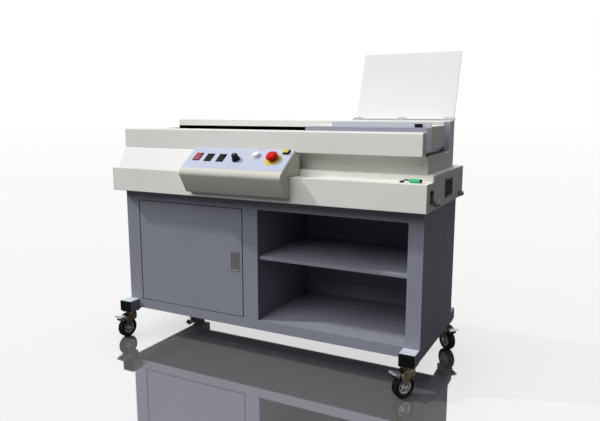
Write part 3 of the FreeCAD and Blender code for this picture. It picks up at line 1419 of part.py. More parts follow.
# ---------------------------------------------------------------- support board
def make_board():
    y, z = BOARD_HINGE_Y, BOARD_HINGE_Z
    leaf = box(
        HINGE_X0,
        HINGE_X1,
        HOUSING_Y1 - HINGE_LEAF_D - HINGE_LEAF_IN,
        HOUSING_Y1 - HINGE_LEAF_IN,
        HOOD_TOP,
        HOOD_TOP + HINGE_LEAF_T,
    )
    middle = (HINGE_X0 + HINGE_X1) / 2
    ends = [
        (HINGE_X0, HINGE_X0 + HINGE_END_L),
        (middle - HINGE_MID_L / 2, middle + HINGE_MID_L / 2),
        (HINGE_X1 - HINGE_END_L, HINGE_X1),
    ]
    barrels = []
    web_top = z - BOARD_T / 2 - 2 * GAP
    for x0, x1 in ends:
        barrels.append(rod_x(x0, x1, y, z, HINGE_R))
        barrels.append(box(x0, x1, y - HINGE_R - HINGE_WEB, HOUSING_Y1, HOOD_TOP, web_top))
    pin = rod_x(HINGE_X0, HINGE_X1, y, z, HINGE_PIN_R)
    add("board_hinge", join(leaf, *barrels, pin))
    start = HINGE_R + 2 * GAP
    slab = box(BOARD_X0, BOARD_X1, y - BOARD_T / 2, y + BOARD_T / 2, z + start, z + BOARD_L)
    moving = []
    for (_, x0), (x1, _) in zip(ends, ends[1:]):
        barrel = rod_x(x0 + GAP, x1 - GAP, y, z, HINGE_R)
        root = box(x0 + GAP, x1 - GAP, y - BOARD_T / 2, y + BOARD_T / 2, z, z + start)
        moving.append(join(barrel, root).cut(rod_x(x0, x1, y, z, HINGE_PIN_R + FIT)))
    board = join(slab, *moving)
    add("support_board", turned(board, Vector(0, y, z), X_AXIS, -BOARD_LEAN))


# ---------------------------------------------------------------- build, centre and write
def build_all():
    make_castors()
    make_cabinet()
    make_door()
    make_tray()
    make_housing()
    make_front_cover()
    make_rear_hood()
    make_sloped_cover()
    make_console()
    make_controls()
    make_end_fittings()
    make_side_lever()
    make_rods()
    make_carriage()
    make_drives()
    make_tools()
    make_board()


def bottom_centre():
    whole = FreeCAD.BoundBox()
    for shape in NODES.values():
        whole.add(shape.optimalBoundingBox(False, False))
    return Vector((whole.XMin + whole.XMax) / 2, (whole.YMin + whole.YMax) / 2, whole.ZMin)


build_all()
ORIGIN = bottom_centre()
os.makedirs("parts", exist_ok=True)
for node_name, node_shape in NODES.items():
    node_shape.translate(-ORIGIN)
    node_shape.exportStep("parts/" + node_name + ".step")
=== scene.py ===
import json
import math

import bmesh
import bpy
from mathutils import Matrix, Vector

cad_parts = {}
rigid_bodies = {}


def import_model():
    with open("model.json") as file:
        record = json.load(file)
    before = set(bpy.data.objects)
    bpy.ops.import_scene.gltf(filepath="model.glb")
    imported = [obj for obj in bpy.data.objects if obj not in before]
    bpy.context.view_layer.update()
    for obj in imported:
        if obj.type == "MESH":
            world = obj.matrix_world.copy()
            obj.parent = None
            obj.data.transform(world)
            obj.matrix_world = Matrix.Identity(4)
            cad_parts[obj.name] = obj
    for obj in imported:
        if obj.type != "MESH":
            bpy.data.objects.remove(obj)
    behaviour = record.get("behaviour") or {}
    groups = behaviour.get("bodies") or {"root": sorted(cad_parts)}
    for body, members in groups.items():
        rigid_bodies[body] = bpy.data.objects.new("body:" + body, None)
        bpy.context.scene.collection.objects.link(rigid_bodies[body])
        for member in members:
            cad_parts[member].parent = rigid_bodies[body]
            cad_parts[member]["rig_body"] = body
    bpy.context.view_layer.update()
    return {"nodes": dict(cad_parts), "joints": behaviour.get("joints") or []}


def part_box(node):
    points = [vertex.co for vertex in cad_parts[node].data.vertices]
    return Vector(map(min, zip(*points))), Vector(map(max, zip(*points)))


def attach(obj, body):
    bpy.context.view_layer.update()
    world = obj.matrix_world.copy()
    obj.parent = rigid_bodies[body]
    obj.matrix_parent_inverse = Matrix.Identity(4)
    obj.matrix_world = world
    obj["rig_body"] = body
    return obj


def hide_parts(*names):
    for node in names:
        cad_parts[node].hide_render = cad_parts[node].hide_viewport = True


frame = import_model()

# Perfect binding machine: sheet-steel covers and cabinet, a sloped console, a clamp carriage
# between two rods, a support board and four braked castors. Metres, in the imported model's frame.
MM = 0.001
NODES = frame["nodes"]
JOINTS = {joint["name"]: joint for joint in frame["joints"]}
SHARP = math.radians(28.0)
CABINET_LOW, CABINET_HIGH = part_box("cabinet_top")
CENTRE_X = (CABINET_LOW.x + CABINET_HIGH.x) / 2
FACE_Y = CABINET_LOW.y


def at(x, y, z):
    """A point in mm: x from the cabinet's middle, y from its front face, z from the floor."""
    return Vector((CENTRE_X + x * MM, FACE_Y + y * MM, z * MM))


# ---------------------------------------------------------------- materials
DRIFT_MM = 160.0         # how far apart a powder coat's lighter and darker areas lie
SMEAR_MM = 35.0          # smears from hands and cloths
PEEL_MM = 2.5            # orange peel is about 1 mm across; it is drawn coarser so that it shows
PEEL_DEPTH_MM = 0.05
HANDLED_MM = 12.0        # where fingers have changed a plastic's gloss
LINE_STRETCH = 60        # a brushed line's length over its width
PIT_MM = 1.2             # etched grain of plated steel
PIT_DEPTH_MM = 0.04


def linear(hex_colour):
    """An sRGB hex colour as linear RGBA."""
    shown = [int(hex_colour[i : i + 2], 16) / 255 for i in (1, 3, 5)]
    return [c / 12.92 if c <= 0.04045 else ((c + 0.055) / 1.055) ** 2.4 for c in shown] + [1.0]


def add_node(tree, kind, inputs=None, **settings):
    """Adds one shader node; inputs maps a socket to its value or to the output that feeds it."""
    node = tree.nodes.new(kind)
    for name, value in settings.items():
        setattr(node, name, value)
    for key, value in (inputs or {}).items():
        if isinstance(value, bpy.types.NodeSocket):
            tree.links.new(value, node.inputs[key])
        else:
            node.inputs[key].default_value = value
    return node


def new_material(name, **sockets):
    """A material with a Principled shader, and the object coordinates its patterns use."""
    material = bpy.data.materials.new(name)
    material.use_nodes = True
    tree = material.node_tree
    tree.nodes.clear()
    shader = add_node(tree, "ShaderNodeBsdfPrincipled", sockets)
    add_node(tree, "ShaderNodeOutputMaterial", {"Surface": shader.outputs["BSDF"]})
    coordinates = add_node(tree, "ShaderNodeTexCoord").outputs["Object"]
    return material, tree, shader, coordinates


def powder_coat(name, colour, shade, roughness):
    """Powder coat baked on sheet steel: a fine orange peel that breaks up the gloss, a colour that
    drifts a little over each sheet, and faint smears where hands and cloths have been."""
    material, tree, shader, coordinates = new_material(
        name, Roughness=roughness, **{"Specular IOR Level": 0.1}
    )
    drift = add_node(
        tree,
        "ShaderNodeTexNoise",
        {"Vector": coordinates, "Scale": 1 / (DRIFT_MM * MM), "Detail": 3.0},
    )
    colours = add_node(
        tree,
        "ShaderNodeMix",
        {"Factor": drift.outputs["Fac"], "A": linear(colour), "B": linear(shade)},
        data_type="RGBA",
    )
    tree.links.new(colours.outputs["Result"], shader.inputs["Base Color"])
    smears = add_node(
        tree,
        "ShaderNodeTexNoise",
        {"Vector": coordinates, "Scale": 1 / (SMEAR_MM * MM), "Detail": 5.0},
    )
    gloss = add_node(
        tree,
        "ShaderNodeMapRange",
        {0: smears.outputs["Fac"], 1: 0.35, 2: 0.7, 3: roughness - 0.05, 4: roughness + 0.08},
    )
    tree.links.new(gloss.outputs[0], shader.inputs["Roughness"])
    peel = add_node(
        tree,
        "ShaderNodeTexNoise",
        {"Vector": coordinates, "Scale": 1 / (PEEL_MM * MM), "Detail": 1.0},
    )
    bump = add_node(
        tree,
        "ShaderNodeBump",
        {"Height": peel.outputs["Fac"], "Strength": 0.12, "Distance": PEEL_DEPTH_MM * MM},
    )
    tree.links.new(bump.outputs["Normal"], shader.inputs["Normal"])
    return material


def moulded_plastic(name, colour, roughness, grain_mm, depth_mm, **sockets):
    """Moulded ABS or nylon: the fine spark texture of the mould and a slightly uneven gloss."""
    material, tree, shader, coordinates = new_material(name, Roughness=roughness, **sockets)
    shader.inputs["Base Color"].default_value = linear(colour)
    grain = add_node(
        tree, "ShaderNodeTexNoise", {"Vector": coordinates, "Scale": 1 / (grain_mm * MM)}
    )
    bump = add_node(
        tree,
        "ShaderNodeBump",
        {"Height": grain.outputs["Fac"], "Strength": 0.3, "Distance": depth_mm * MM},
    )
    tree.links.new(bump.outputs["Normal"], shader.inputs["Normal"])
    handled = add_node(
        tree,
        "ShaderNodeTexNoise",
        {"Vector": coordinates, "Scale": 1 / (HANDLED_MM * MM), "Detail": 3.0},
    )
    gloss = add_node(
        tree,
        "ShaderNodeMapRange",
        {0: handled.outputs["Fac"], 1: 0.3, 2: 0.7, 3: roughness * 0.8, 4: roughness * 1.2},
    )
    tree.links.new(gloss.outputs[0], shader.inputs["Roughness"])
    return material


def lined_metal(name, colour, shade, roughness, stretch, line_mm, depth_mm, metallic=1.0):
    """Metal with the lines that a belt or a lathe leaves; stretch is along the lines' direction."""
    material, tree, shader, coordinates = new_material(
        name, Roughness=roughness, Metallic=metallic
    )
    long_mm = line_mm * LINE_STRETCH
    across = [1.0 / ((long_mm if along else line_mm) * MM) for along in stretch]
    lines = add_node(
        tree, "ShaderNodeMapping", {"Vector": coordinates, "Scale": across}, vector_type="POINT"
    )
    streaks = add_node(
        tree,
        "ShaderNodeTexNoise",
        {"Vector": lines.outputs["Vector"], "Scale": 1.0, "Detail": 2.0, "Roughness": 0.6},
    )
    colours = add_node(
        tree,
        "ShaderNodeMix",
        {"Factor": streaks.outputs["Fac"], "A": linear(colour), "B": linear(shade)},
        data_type="RGBA",
    )
    tree.links.new(colours.outputs["Result"], shader.inputs["Base Color"])
    bump = add_node(
        tree,
        "ShaderNodeBump",
        {"Height": streaks.outputs["Fac"], "Strength": 0.35, "Distance": depth_mm * MM},
    )
    tree.links.new(bump.outputs["Normal"], shader.inputs["Normal"])
    return material


def plated_metal(name, colour, stain, roughness, stain_mm):
    """Pressed steel under thin zinc or nickel plate, with the cloudy stain of passivation."""
    material, tree, shader, coordinates = new_material(name, Roughness=roughness, Metallic=1.0)
    cloud = add_node(
        tree,
        "ShaderNodeTexNoise",
        {"Vector": coordinates, "Scale": 1 / (stain_mm * MM), "Detail": 4.0, "Distortion": 0.6},
    )
    steps = add_node(tree, "ShaderNodeValToRGB", {"Fac": cloud.outputs["Fac"]})
    steps.color_ramp.elements[0].position = 0.35
    steps.color_ramp.elements[0].color = linear(stain)
    steps.color_ramp.elements[1].position = 0.65
    steps.color_ramp.elements[1].color = linear(colour)
    tree.links.new(steps.outputs["Color"], shader.inputs["Base Color"])
    gloss = add_node(
        tree,
        "ShaderNodeMapRange",
        {0: cloud.outputs["Fac"], 1: 0.3, 2: 0.7, 3: roughness * 0.75, 4: roughness * 1.3},
    )
    tree.links.new(gloss.outputs[0], shader.inputs["Roughness"])
    pits = add_node(
        tree,
        "ShaderNodeTexNoise",
        {"Vector": coordinates, "Scale": 1 / (PIT_MM * MM), "Detail": 2.0},
    )
    bump = add_node(
        tree,
        "ShaderNodeBump",
        {"Height": pits.outputs["Fac"], "Strength": 0.2, "Distance": PIT_DEPTH_MM * MM},
    )
    tree.links.new(bump.outputs["Normal"], shader.inputs["Normal"])
    return material


# Each finish is named for the real material, except the pale beam top, which is a painted
# highlight. Powder coats look soft and even, brushed metals show a band of light across their
# lines, and plated steel is cloudy.
LOW_GLOSS = {"Specular IOR Level": 0.18}
FINISH = {
    "cabinet_grey": powder_coat("blue_grey_powder_coat", "#8F909C", "#868893", 0.42),
    "machine_cream": powder_coat("cream_powder_coat", "#ECECE6", "#E4E4DD", 0.40),
    "console_cream": powder_coat("console_powder_coat", "#D5D4CB", "#CDCCC2", 0.42),
    "machine_white": powder_coat("white_powder_coat", "#EEEEED", "#E8E8E6", 0.36),
    "hinge_grey": powder_coat("grey_painted_hinge", "#C9CBC8", "#BFC1BE", 0.45),
    # painted highlight: a paler copy of the grey paint for the beams' lit tops
    "beam_top_painted_highlight": powder_coat("painted_highlight_beam_top", "#CDD3DE", "#C3C9D4", 0.4),
    "bare_aluminium": lined_metal(
        "brushed_anodised_aluminium", "#A6A9B6", "#A8ABBC", 0.36, (1, 0, 0), 0.5, 0.02, 0.7
    ),
    "bright_aluminium": lined_metal(
        "bright_anodised_plate", "#E6E9F0", "#DADDE8", 0.4, (1, 0, 0), 0.5, 0.02, 0.25
    ),
    "polished_steel": lined_metal(
        "ground_shaft_steel", "#C4C6CA", "#B4B6BA", 0.16, (0, 1, 1), 0.8, 0.01
    ),
    "tool_steel": lined_metal(
        "milled_tool_steel", "#8C8D92", "#77787D", 0.34, (1, 0, 0), 0.7, 0.03
    ),
    "nickel": plated_metal("bright_nickel_plate", "#C9C8C4", "#B7B6B1", 0.2, 9),
    "zinc_yellow": plated_metal("yellow_passivated_zinc", "#A59C78", "#6E6A52", 0.34, 8),
    "pedal_steel": plated_metal("clear_zinc_plate", "#DCDCE2", "#C2C2CA", 0.26, 7),
    "dark_nickel": moulded_plastic("smoked_nickel_plate", "#7C7C79", 0.3, 1.2, 0.01),
    "panel_blue": moulded_plastic("pale_blue_panel_film", "#BBC1D4", 0.4, 0.6, 0.01),
    "panel_ink": moulded_plastic("grey_blue_screen_ink", "#8E96B4", 0.5, 0.8, 0.01),
    "black_plastic": moulded_plastic("black_moulded_abs", "#0B0C0D", 0.42, 0.8, 0.03, **LOW_GLOSS),
    "white_plastic": moulded_plastic("white_moulded_abs", "#E9ECEC", 0.3, 0.8, 0.01),
    "stop_red": moulded_plastic("glossy_red_abs", "#C80910", 0.3, 0.9, 0.01, **LOW_GLOSS),
    "lit_red": moulded_plastic(
        "clear_red_polycarbonate", "#A3122B", 0.2, 0.9, 0.01, **{"Coat Weight": 0.5}
    ),
    "stop_yellow": moulded_plastic("yellow_moulded_abs", "#CDBD45", 0.4, 0.8, 0.01),
    "green_plastic": moulded_plastic("green_grip_vinyl", "#38C07A", 0.34, 0.9, 0.02),
    "castor_rubber": moulded_plastic("black_tyre_rubber", "#101011", 0.6, 1.0, 0.08, **LOW_GLOSS),
    "hub_grey": moulded_plastic("grey_moulded_nylon", "#D4D4DA", 0.38, 0.9, 0.02),
}


# ---------------------------------------------------------------- shapes
def block(low, high):
    """A box between two corners."""
    low, high = Vector(low), Vector(high)
    shape = bmesh.new()
    matrix = Matrix.Translation((low + high) / 2) @ Matrix.Diagonal((*(high - low), 1.0))
    bmesh.ops.create_cube(shape, size=1.0, matrix=matrix)
    return shape


def lathe(outline, steps=48):
    """A round shape about Z, turned from (radius, height) points; a radius of 0 closes it."""
    shape = bmesh.new()
    corners = [shape.verts.new((radius, 0, height)) for radius, height in outline]
    chain = [shape.edges.new(pair) for pair in zip(corners, corners[1:])]
    bmesh.ops.spin(
        shape,
        geom=corners + chain,
        cent=(0, 0, 0),
        axis=(0, 0, 1),
        angle=2 * math.pi,
        steps=steps,
        use_merge=True,
    )
    bmesh.ops.remove_doubles(shape, verts=shape.verts, dist=1e-6)
    return shape


def thickened(shape, thickness):
    """A flat shape's faces drawn up along Z into a solid."""
    drawn = bmesh.ops.extrude_face_region(shape, geom=list(shape.faces))
    lifted = [item for item in drawn["geom"] if isinstance(item, bmesh.types.BMVert)]
    bmesh.ops.translate(shape, verts=lifted, vec=(0, 0, thickness))
    return shape


def plate(outline, thickness, rounds=None):
    """A flat plate in the XY plane from its corners; rounds gives the radius at some corners."""
    shape = bmesh.new()
    corners = [shape.verts.new((x, y, 0)) for x, y in outline]
    shape.faces.new(corners)
    for number, radius in (rounds or {}).items():
        bmesh.ops.bevel(
            shape,
            geom=[corners[number]],
            offset=radius,
            affect="VERTICES",
            segments=5,
            profile=0.5,
            material=-1,
        )
    return thickened(shape, thickness)


def pierced_plate(outline, holes, thickness):
    """A flat plate with holes; each ring is (x, y, half width, half height, corners)."""
    shape = bmesh.new()
    for x, y, half_width, half_height, corners in [outline, *holes]:
        reach = 1 / math.cos(math.pi / 4) if corners == 4 else 1.0
        turn = Matrix.Rotation(math.pi / 4 if corners == 4 else 0.0, 4, "Z")
        scale = Matrix.Diagonal((half_width, half_height, 1.0, 1.0))
        bmesh.ops.create_circle(
            shape,
            segments=corners,
            radius=reach,
            matrix=Matrix.Translation((x, y, 0)) @ scale @ turn,
        )
    bmesh.ops.triangle_fill(shape, use_beauty=True, edges=list(shape.edges), normal=(0, 0, 1))
    bmesh.ops.dissolve_limit(
        shape, angle_limit=0.01, verts=list(shape.verts), edges=list(shape.edges)
    )
    return thickened(shape, thickness)


def copied(node):
    """A merged copy of a CAD node, with its flat faces whole again."""
    shape = bmesh.new()
    shape.from_mesh(NODES[node].data)
    bmesh.ops.remove_doubles(shape, verts=shape.verts, dist=1e-6)
    bmesh.ops.dissolve_limit(
        shape, angle_limit=math.radians(0.3), verts=list(shape.verts), edges=list(shape.edges)
    )
    return shape


def room_beside(loop):
    """How far a face reaches inwards from one of its edges, at the narrowest of three places."""
    start, end = loop.vert.co, loop.link_loop_next.vert.co
    along = (end - start).normalized()
    inward = loop.face.normal.cross(along)
    nearest = math.inf
    for other in loop.face.edges:
        if other is loop.edge:
            continue
        first, second = (vert.co - start for vert in other.verts)
        x0, x1 = first.dot(along), second.dot(along)
        y0, y1 = first.dot(inward), second.dot(inward)
        for share in (0.1, 0.5, 0.9):
            x = share * (end - start).length
            if (x0 - x) * (x1 - x) < 0:
                depth = y0 + (y1 - y0) * (x - x0) / (x1 - x0)
                if depth > 1e-7:
                    nearest = min(nearest, depth)
    return nearest


def weigh_edges(shape, radius, share):
    """Gives each sharp edge as much of the radius as the faces beside it have room for."""
    weight = shape.edges.layers.float.new("bevel_weight_edge")
    for edge in shape.edges:
        edge.smooth = True
        if len(edge.link_faces) != 2:
            edge.smooth = False
            continue
        if edge.calc_face_angle() < SHARP:
            continue
        size = min(radius, *(share * room_beside(loop) for loop in edge.link_loops))
        if not edge.is_convex:
            size *= 0.5
        edge[weight] = size / radius
        edge.smooth = False
    for face in shape.faces:
        face.smooth = True


def piece(name, body, parts, stands_for=(), radius=0.6, share=0.3, outwards=True):
    """One finished object from (shape, finish, matrix) parts, with its sharp edges rounded."""
    whole = bmesh.new()
    mesh = bpy.data.meshes.new(name)
    finishes = []
    for shape, finish, matrix in parts:
        if finish not in finishes:
            finishes.append(finish)
            mesh.materials.append(FINISH[finish])
        if matrix is not None:
            bmesh.ops.transform(shape, matrix=matrix, verts=shape.verts)
        if outwards:
            bmesh.ops.recalc_face_normals(shape, faces=shape.faces)
        shape.normal_update()
        weigh_edges(shape, radius * MM, share)
        for face in shape.faces:
            face.material_index = finishes.index(finish)
        step = bpy.data.meshes.new("step")
        shape.to_mesh(step)
        shape.free()
        whole.from_mesh(step)
        bpy.data.meshes.remove(step)
    whole.to_mesh(mesh)
    whole.free()
    made = bpy.data.objects.new(name, mesh)
    bpy.context.scene.collection.objects.link(made)
    rounding = made.modifiers.new("rounded_edges", "BEVEL")
    rounding.limit_method = "WEIGHT"
    rounding.width = radius * MM
    rounding.segments = 3
    rounding.use_clamp_overlap = False
    rounding.harden_normals = True
    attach(made, body)
    if stands_for:
        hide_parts(*stands_for)


# ---------------------------------------------------------------- sheet metal and machined pieces
# node, finish, radius of the folded or broken edges in mm
FORMED = [
    ("front_frame", "cabinet_grey", 1.6),
    ("cabinet_floor", "cabinet_grey", 1.6),
    ("side_panels", "cabinet_grey", 0.8),
    ("back_panel", "cabinet_grey", 0.8),
    ("centre_partition", "cabinet_grey", 0.8),
    ("door_panel", "cabinet_grey", 1.6),
    ("bay_shelf", "cabinet_grey", 1.6),
    ("cabinet_top", "cabinet_grey", 0.8),
    ("magnetic_catch", "black_plastic", 0.8),
    ("tray_shell", "machine_cream", 2.4),
    ("tray_end_plates", "machine_cream", 1.2),
    ("middle_housing", "machine_cream", 2.4),
    ("front_cover", "machine_cream", 2.4),
    ("rear_hood", "machine_cream", 2.4),
    ("sloped_cover", "machine_white", 2.4),
    ("vent_grille", "black_plastic", 0.6),
    ("rocker_red", "lit_red", 0.5),
    ("rocker_black_left", "black_plastic", 0.5),
    ("rocker_black_right", "black_plastic", 0.5),
    ("push_button", "white_plastic", 0.8),
    ("mains_switch_housing", "black_plastic", 0.6),
    ("mains_rocker", "black_plastic", 0.5),
    ("side_knob_front", "dark_nickel", 0.4),
    ("side_knob_rear", "dark_nickel", 0.4),
    ("jaw_knob", "black_plastic", 1.2),
    ("guide_rods", "polished_steel", 1.0),
    ("carriage_frame", "bare_aluminium", 1.0),
    ("front_jaw", "bare_aluminium", 1.2),
    ("jaw_block", "machine_cream", 1.6),
    ("jaw_plate", "bright_aluminium", 0.8),
    ("clamp_screw", "polished_steel", 0.8),
    ("carriage_screw", "polished_steel", 0.8),
    ("drive_motors", "black_plastic", 1.6),
    ("milling_cutter", "tool_steel", 0.5),
    ("glue_tank", "bare_aluminium", 1.0),
    ("glue_roller", "bare_aluminium", 1.0),
    ("nip_plate_front", "tool_steel", 0.8),
    ("nip_plate_rear", "tool_steel", 0.8),
    ("board_hinge", "hinge_grey", 0.6),
    ("support_board", "machine_white", 0.9),
]

# A narrow return closes the hood's front at its right end, behind the moving block's travel.
HOOD_LOW, HOOD_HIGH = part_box("rear_hood")
RETURN_W = 22 * MM
RETURN_T = 2 * MM
RETURN_FRONT = HOOD_LOW.y - 1.5 * MM
HOOD_RETURN = [
    (HOOD_HIGH.x - RETURN_W, RETURN_FRONT, HOOD_LOW.z + RETURN_T),
    (HOOD_HIGH.x, RETURN_FRONT + RETURN_T, HOOD_HIGH.z - RETURN_T),
]

for node, finish, radius in FORMED:
    parts = [(copied(node), finish, None)]
    if node == "rear_hood":
        parts.append((block(*HOOD_RETURN), "bare_aluminium", None))
    body = NODES[node]["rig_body"]
    piece(node + "_formed", body, parts, (node,), radius, outwards=False)


# ---------------------------------------------------------------- helpers for new pieces
def mm(*values):
    """Lengths in millimetres as metres."""
    return [value * MM for value in values]


def placed(x, y, z, *turns):
    """A matrix that moves to (x, y, z) mm after turning; turns are (degrees, axis) in order."""
    matrix = Matrix.Translation(Vector(mm(x, y, z)))
    for degrees, axis in turns:
        matrix = matrix @ Matrix.Rotation(math.radians(degrees), 4, axis)
    return matrix


def block_mm(low, high):
    """A box between two corners in millimetres."""
    return block(mm(*low), mm(*high))


def lathe_mm(outline, steps=48):
    """A round shape about Z from (radius, height) points in millimetres."""
    return lathe([mm(*point) for point in outline], steps)


def plate_mm(outline, thickness, rounds=None):
    """A flat plate from corners in millimetres."""
    sizes = {corner: radius * MM for corner, radius in (rounds or {}).items()}
    return plate([mm(*point) for point in outline], thickness * MM, sizes)


def hole_mm(x, y, half_width, half_height, corners=4):
    """One ring of a pierced plate, in millimetres."""
    return (*mm(x, y, half_width, half_height), corners)


def ring_mm(inner, outer, low, high):
    """The closed outline of a plain ring."""
    return [(inner, low), (outer, low), (outer, high), (inner, high), (inner, low)]


def rod_mm(radius, low, high):
    """The outline of a plain rod."""
    return [(0, low), (radius, low), (radius, high), (0, high)]


def both_sides(half):
    """An outline's upper half and its mirror image below."""
    return half + [(radius, -height) for radius, height in reversed(half)]


# ---------------------------------------------------------------- beams and castors
CORNERS = ("fl", "fr", "rl", "rr")
BEAM_W = 50.0
BEAM_Z = (101.0, 141.0)
TOP_HIGHLIGHT_T = 0.6              # pale top sheet on a beam: painted highlight of its lit top
CAP_T = 3.0
CAP_RIM = 4.0            # flat rim round a front cap's raised middle
CAP_RISE = 0.4
MOUNT_T = 3.0            # castor plate under a beam
MOUNT_EDGE = 0.5         # how far the plate stays inside the beam's sides
BOLT_REACH = 18.0        # from the kingpin to a bolt, along the beam and across it
BOLT_HEAD = [(0, 94.5), (5, 94.5), (5.5, 95), (5.5, 98), (0, 98)]
KINGPIN = [(0, 84.3), (7, 84.3), (9, 85.6), (9, 86.6), (4.9, 86.6), (4.9, 98), (0, 98)]
RACE_TOP = 97.7
YOKE_TOP = 89.7
RACE = [
    (5.4, YOKE_TOP - 0.2), (19, YOKE_TOP - 0.2), (20, YOKE_TOP + 1), (20, 92.9), (18.8, 93.3),
    (18.8, 94.1), (20, 94.5), (20, 96.6), (19, RACE_TOP), (5.4, RACE_TOP), (5.4, YOKE_TOP - 0.2),
]
TRAIL = 20.0             # from the kingpin to the axle
AXLE_Z = 36.5
AXLE_R = 3.9
PIN_U = 34.0             # pedal's pin, from the kingpin along the trail
PIN_Z = 78.0
PIN_R = 2.9
YOKE_HALF = 16.0
YOKE_END = 42.0
YOKE_T = 2.5
STRAP_T = 2.4
STRAP_END_R = 6.3
TREAD_HALF = [
    (22.5, 11.3), (24, 12), (26, 12), (26.8, 11.3), (30.4, 11.3), (31.2, 12), (33, 11.7),
    (35, 10.4), (36.1, 8.2), (36.5, 6.4), (36.5, 5.2), (35.1, 4.7), (35.1, 3.5), (36.5, 3.0),
]
RIM_HALF = [(22.5, 10.5), (20.6, 10.9), (19, 10.3), (18.4, 8), (17.6, 3.2)]
BOSS_HALF = [(4.3, 13.2), (7.4, 13.2), (8.2, 12.4), (8.5, 3.2)]
SPOKES = 5
SPOKE = [(7, -3.4), (19, -2.6), (19, 2.6), (7, 3.4)]
SPOKE_T = 12.0
PEDAL_HALF = 12.9        # its neck, between the fork's sides
TREAD_W = 36.0           # its wider end, for a foot
TREAD_L = 16.4
TREAD_RISE = 17.35       # degrees
SHOE_W = 20.0
SHOE = [(30, 74), (40, 70.5), (43.5, 68.6), (46.5, 68.4), (41, 79), (33, 82)]


def make_beams():
    """Two square tubes under the cabinet, each with plastic caps and two bolted castor plates."""
    low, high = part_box("castor_beams")
    y0, y1 = low.y + CAP_T * MM, high.y - CAP_T * MM
    z0, z1 = mm(*BEAM_Z)
    highlight_z, rim = z1 - TOP_HIGHLIGHT_T * MM, CAP_RIM * MM
    parts = []
    for outer, inward in ((low.x, 1), (high.x, -1)):
        x0, x1 = sorted((outer, outer + inward * BEAM_W * MM))
        raised = block((x0 + rim, low.y - CAP_RISE * MM, z0 + rim), (x1 - rim, y0, z1 - rim))
        parts += [
            (block((x0, y0, z0), (x1, y1, highlight_z)), "cabinet_grey", None),
            # the beam's top layer in a paler grey paints the light falling on it
            (block((x0, y0, highlight_z), (x1, y1, z1)), "beam_top_painted_highlight", None),
            (block((x0, low.y, z0), (x1, y0, z1)), "black_plastic", None),
            (raised, "black_plastic", None),
            (block((x0, y1, z0), (x1, high.y, z1)), "black_plastic", None),
        ]
    piece("castor_beams_painted", "machine", parts, ("castor_beams",), 2.0)

    half, top = BEAM_W / 2 - MOUNT_EDGE, BEAM_Z[0]
    plates = []
    for corner in CORNERS:
        kingpin = Vector(JOINTS["castor_" + corner + "_swivel"]["pos_m"])
        x, y = kingpin.x / MM, kingpin.y / MM
        mount = block_mm((x - half, y - half, top - MOUNT_T), (x + half, y + half, top))
        plates.append((mount, "zinc_yellow", None))
        for dx in (-BOLT_REACH, BOLT_REACH):
            for dy in (-BOLT_REACH, BOLT_REACH):
                bolt = lathe_mm(BOLT_HEAD, 6)
                plates.append((bolt, "pedal_steel", placed(x + dx, y + dy, 0)))
        plates.append((lathe_mm(KINGPIN), "pedal_steel", placed(x, y, 0)))
    piece("castor_plates", "machine", plates, radius=0.8)


def fork_shell():
    """The deep-drawn top of a fork: rounded at the back, open in front and below."""
    depth = 2 * YOKE_HALF
    outline = [(-20, -YOKE_HALF), (YOKE_END, -YOKE_HALF), (YOKE_END, YOKE_HALF), (-20, YOKE_HALF)]
    shape = plate_mm(outline, depth, {0: 12, 3: 12})
    bmesh.ops.translate(shape, verts=shape.verts, vec=(0, 0, (YOKE_TOP - depth) * MM))
    shape.normal_update()
    rim = [
        edge
        for edge in shape.edges
        if all(vert.co.z > (YOKE_TOP - 1) * MM for vert in edge.verts)
        and not all(vert.co.x > (YOKE_END - 1) * MM for vert in edge.verts)
    ]
    bmesh.ops.bevel(
        shape,
        geom=rim,
        offset=5 * MM,
        affect="EDGES",
        segments=4,
        profile=0.5,
        material=-1,
    )
    # a point of each cutting plane, and the way to what it cuts off
    cuts = [
        ((YOKE_END, 0, 70), (1, 0, 0)),
        ((15.5, 0, YOKE_TOP), (7.5, 0, 22.7)),
        ((34, 0, 60), (15.6, 0, -6)),
        ((34, 0, 60), (6, 0, -8)),
        ((0, 0, 60), (0, 0, -1)),
        ((0, 0, 60), (-10, 0, -20)),
    ]
    for place, away in cuts:
        bmesh.ops.bisect_plane(
            shape,
            geom=list(shape.verts) + list(shape.edges) + list(shape.faces),
            dist=1e-6,
            plane_co=mm(*place),
            plane_no=Vector(away).normalized(),
            clear_outer=True,
        )
    open_ends = [face for face in shape.faces if face.normal.x > 0.99 or face.normal.z < -0.99]
    bmesh.ops.delete(shape, geom=open_ends, context="FACES")
    bmesh.ops.recalc_face_normals(shape, faces=shape.faces)
    top = max(shape.faces, key=lambda face: face.calc_center_median().z)
    if top.normal.z < 0:
        bmesh.ops.reverse_faces(shape, faces=shape.faces)
    bmesh.ops.solidify(shape, geom=list(shape.faces), thickness=YOKE_T * MM)
    return shape


def fork_foot():
    """A leg's lower strap, from inside the drawn top down to the axle."""
    points = [(30, 72), (10, 72), (13, 56), (TRAIL - STRAP_END_R, AXLE_Z)]
    for step in range(1, 9):
        turn = math.radians(180 + 22.5 * step)
        across, up = STRAP_END_R * math.cos(turn), STRAP_END_R * math.sin(turn)
        points.append((TRAIL + across, AXLE_Z + up))
    points.append((27, 56))
    return plate_mm(points, STRAP_T)


def hex_head(radius, height):
    """A hexagon head with a washer under it, turned up along Z."""
    return lathe_mm([(0, 0), (radius * 0.86, 0), (radius, height * 0.2), (radius, height * 0.8),
                     (radius * 0.86, height), (0, height)], 6)


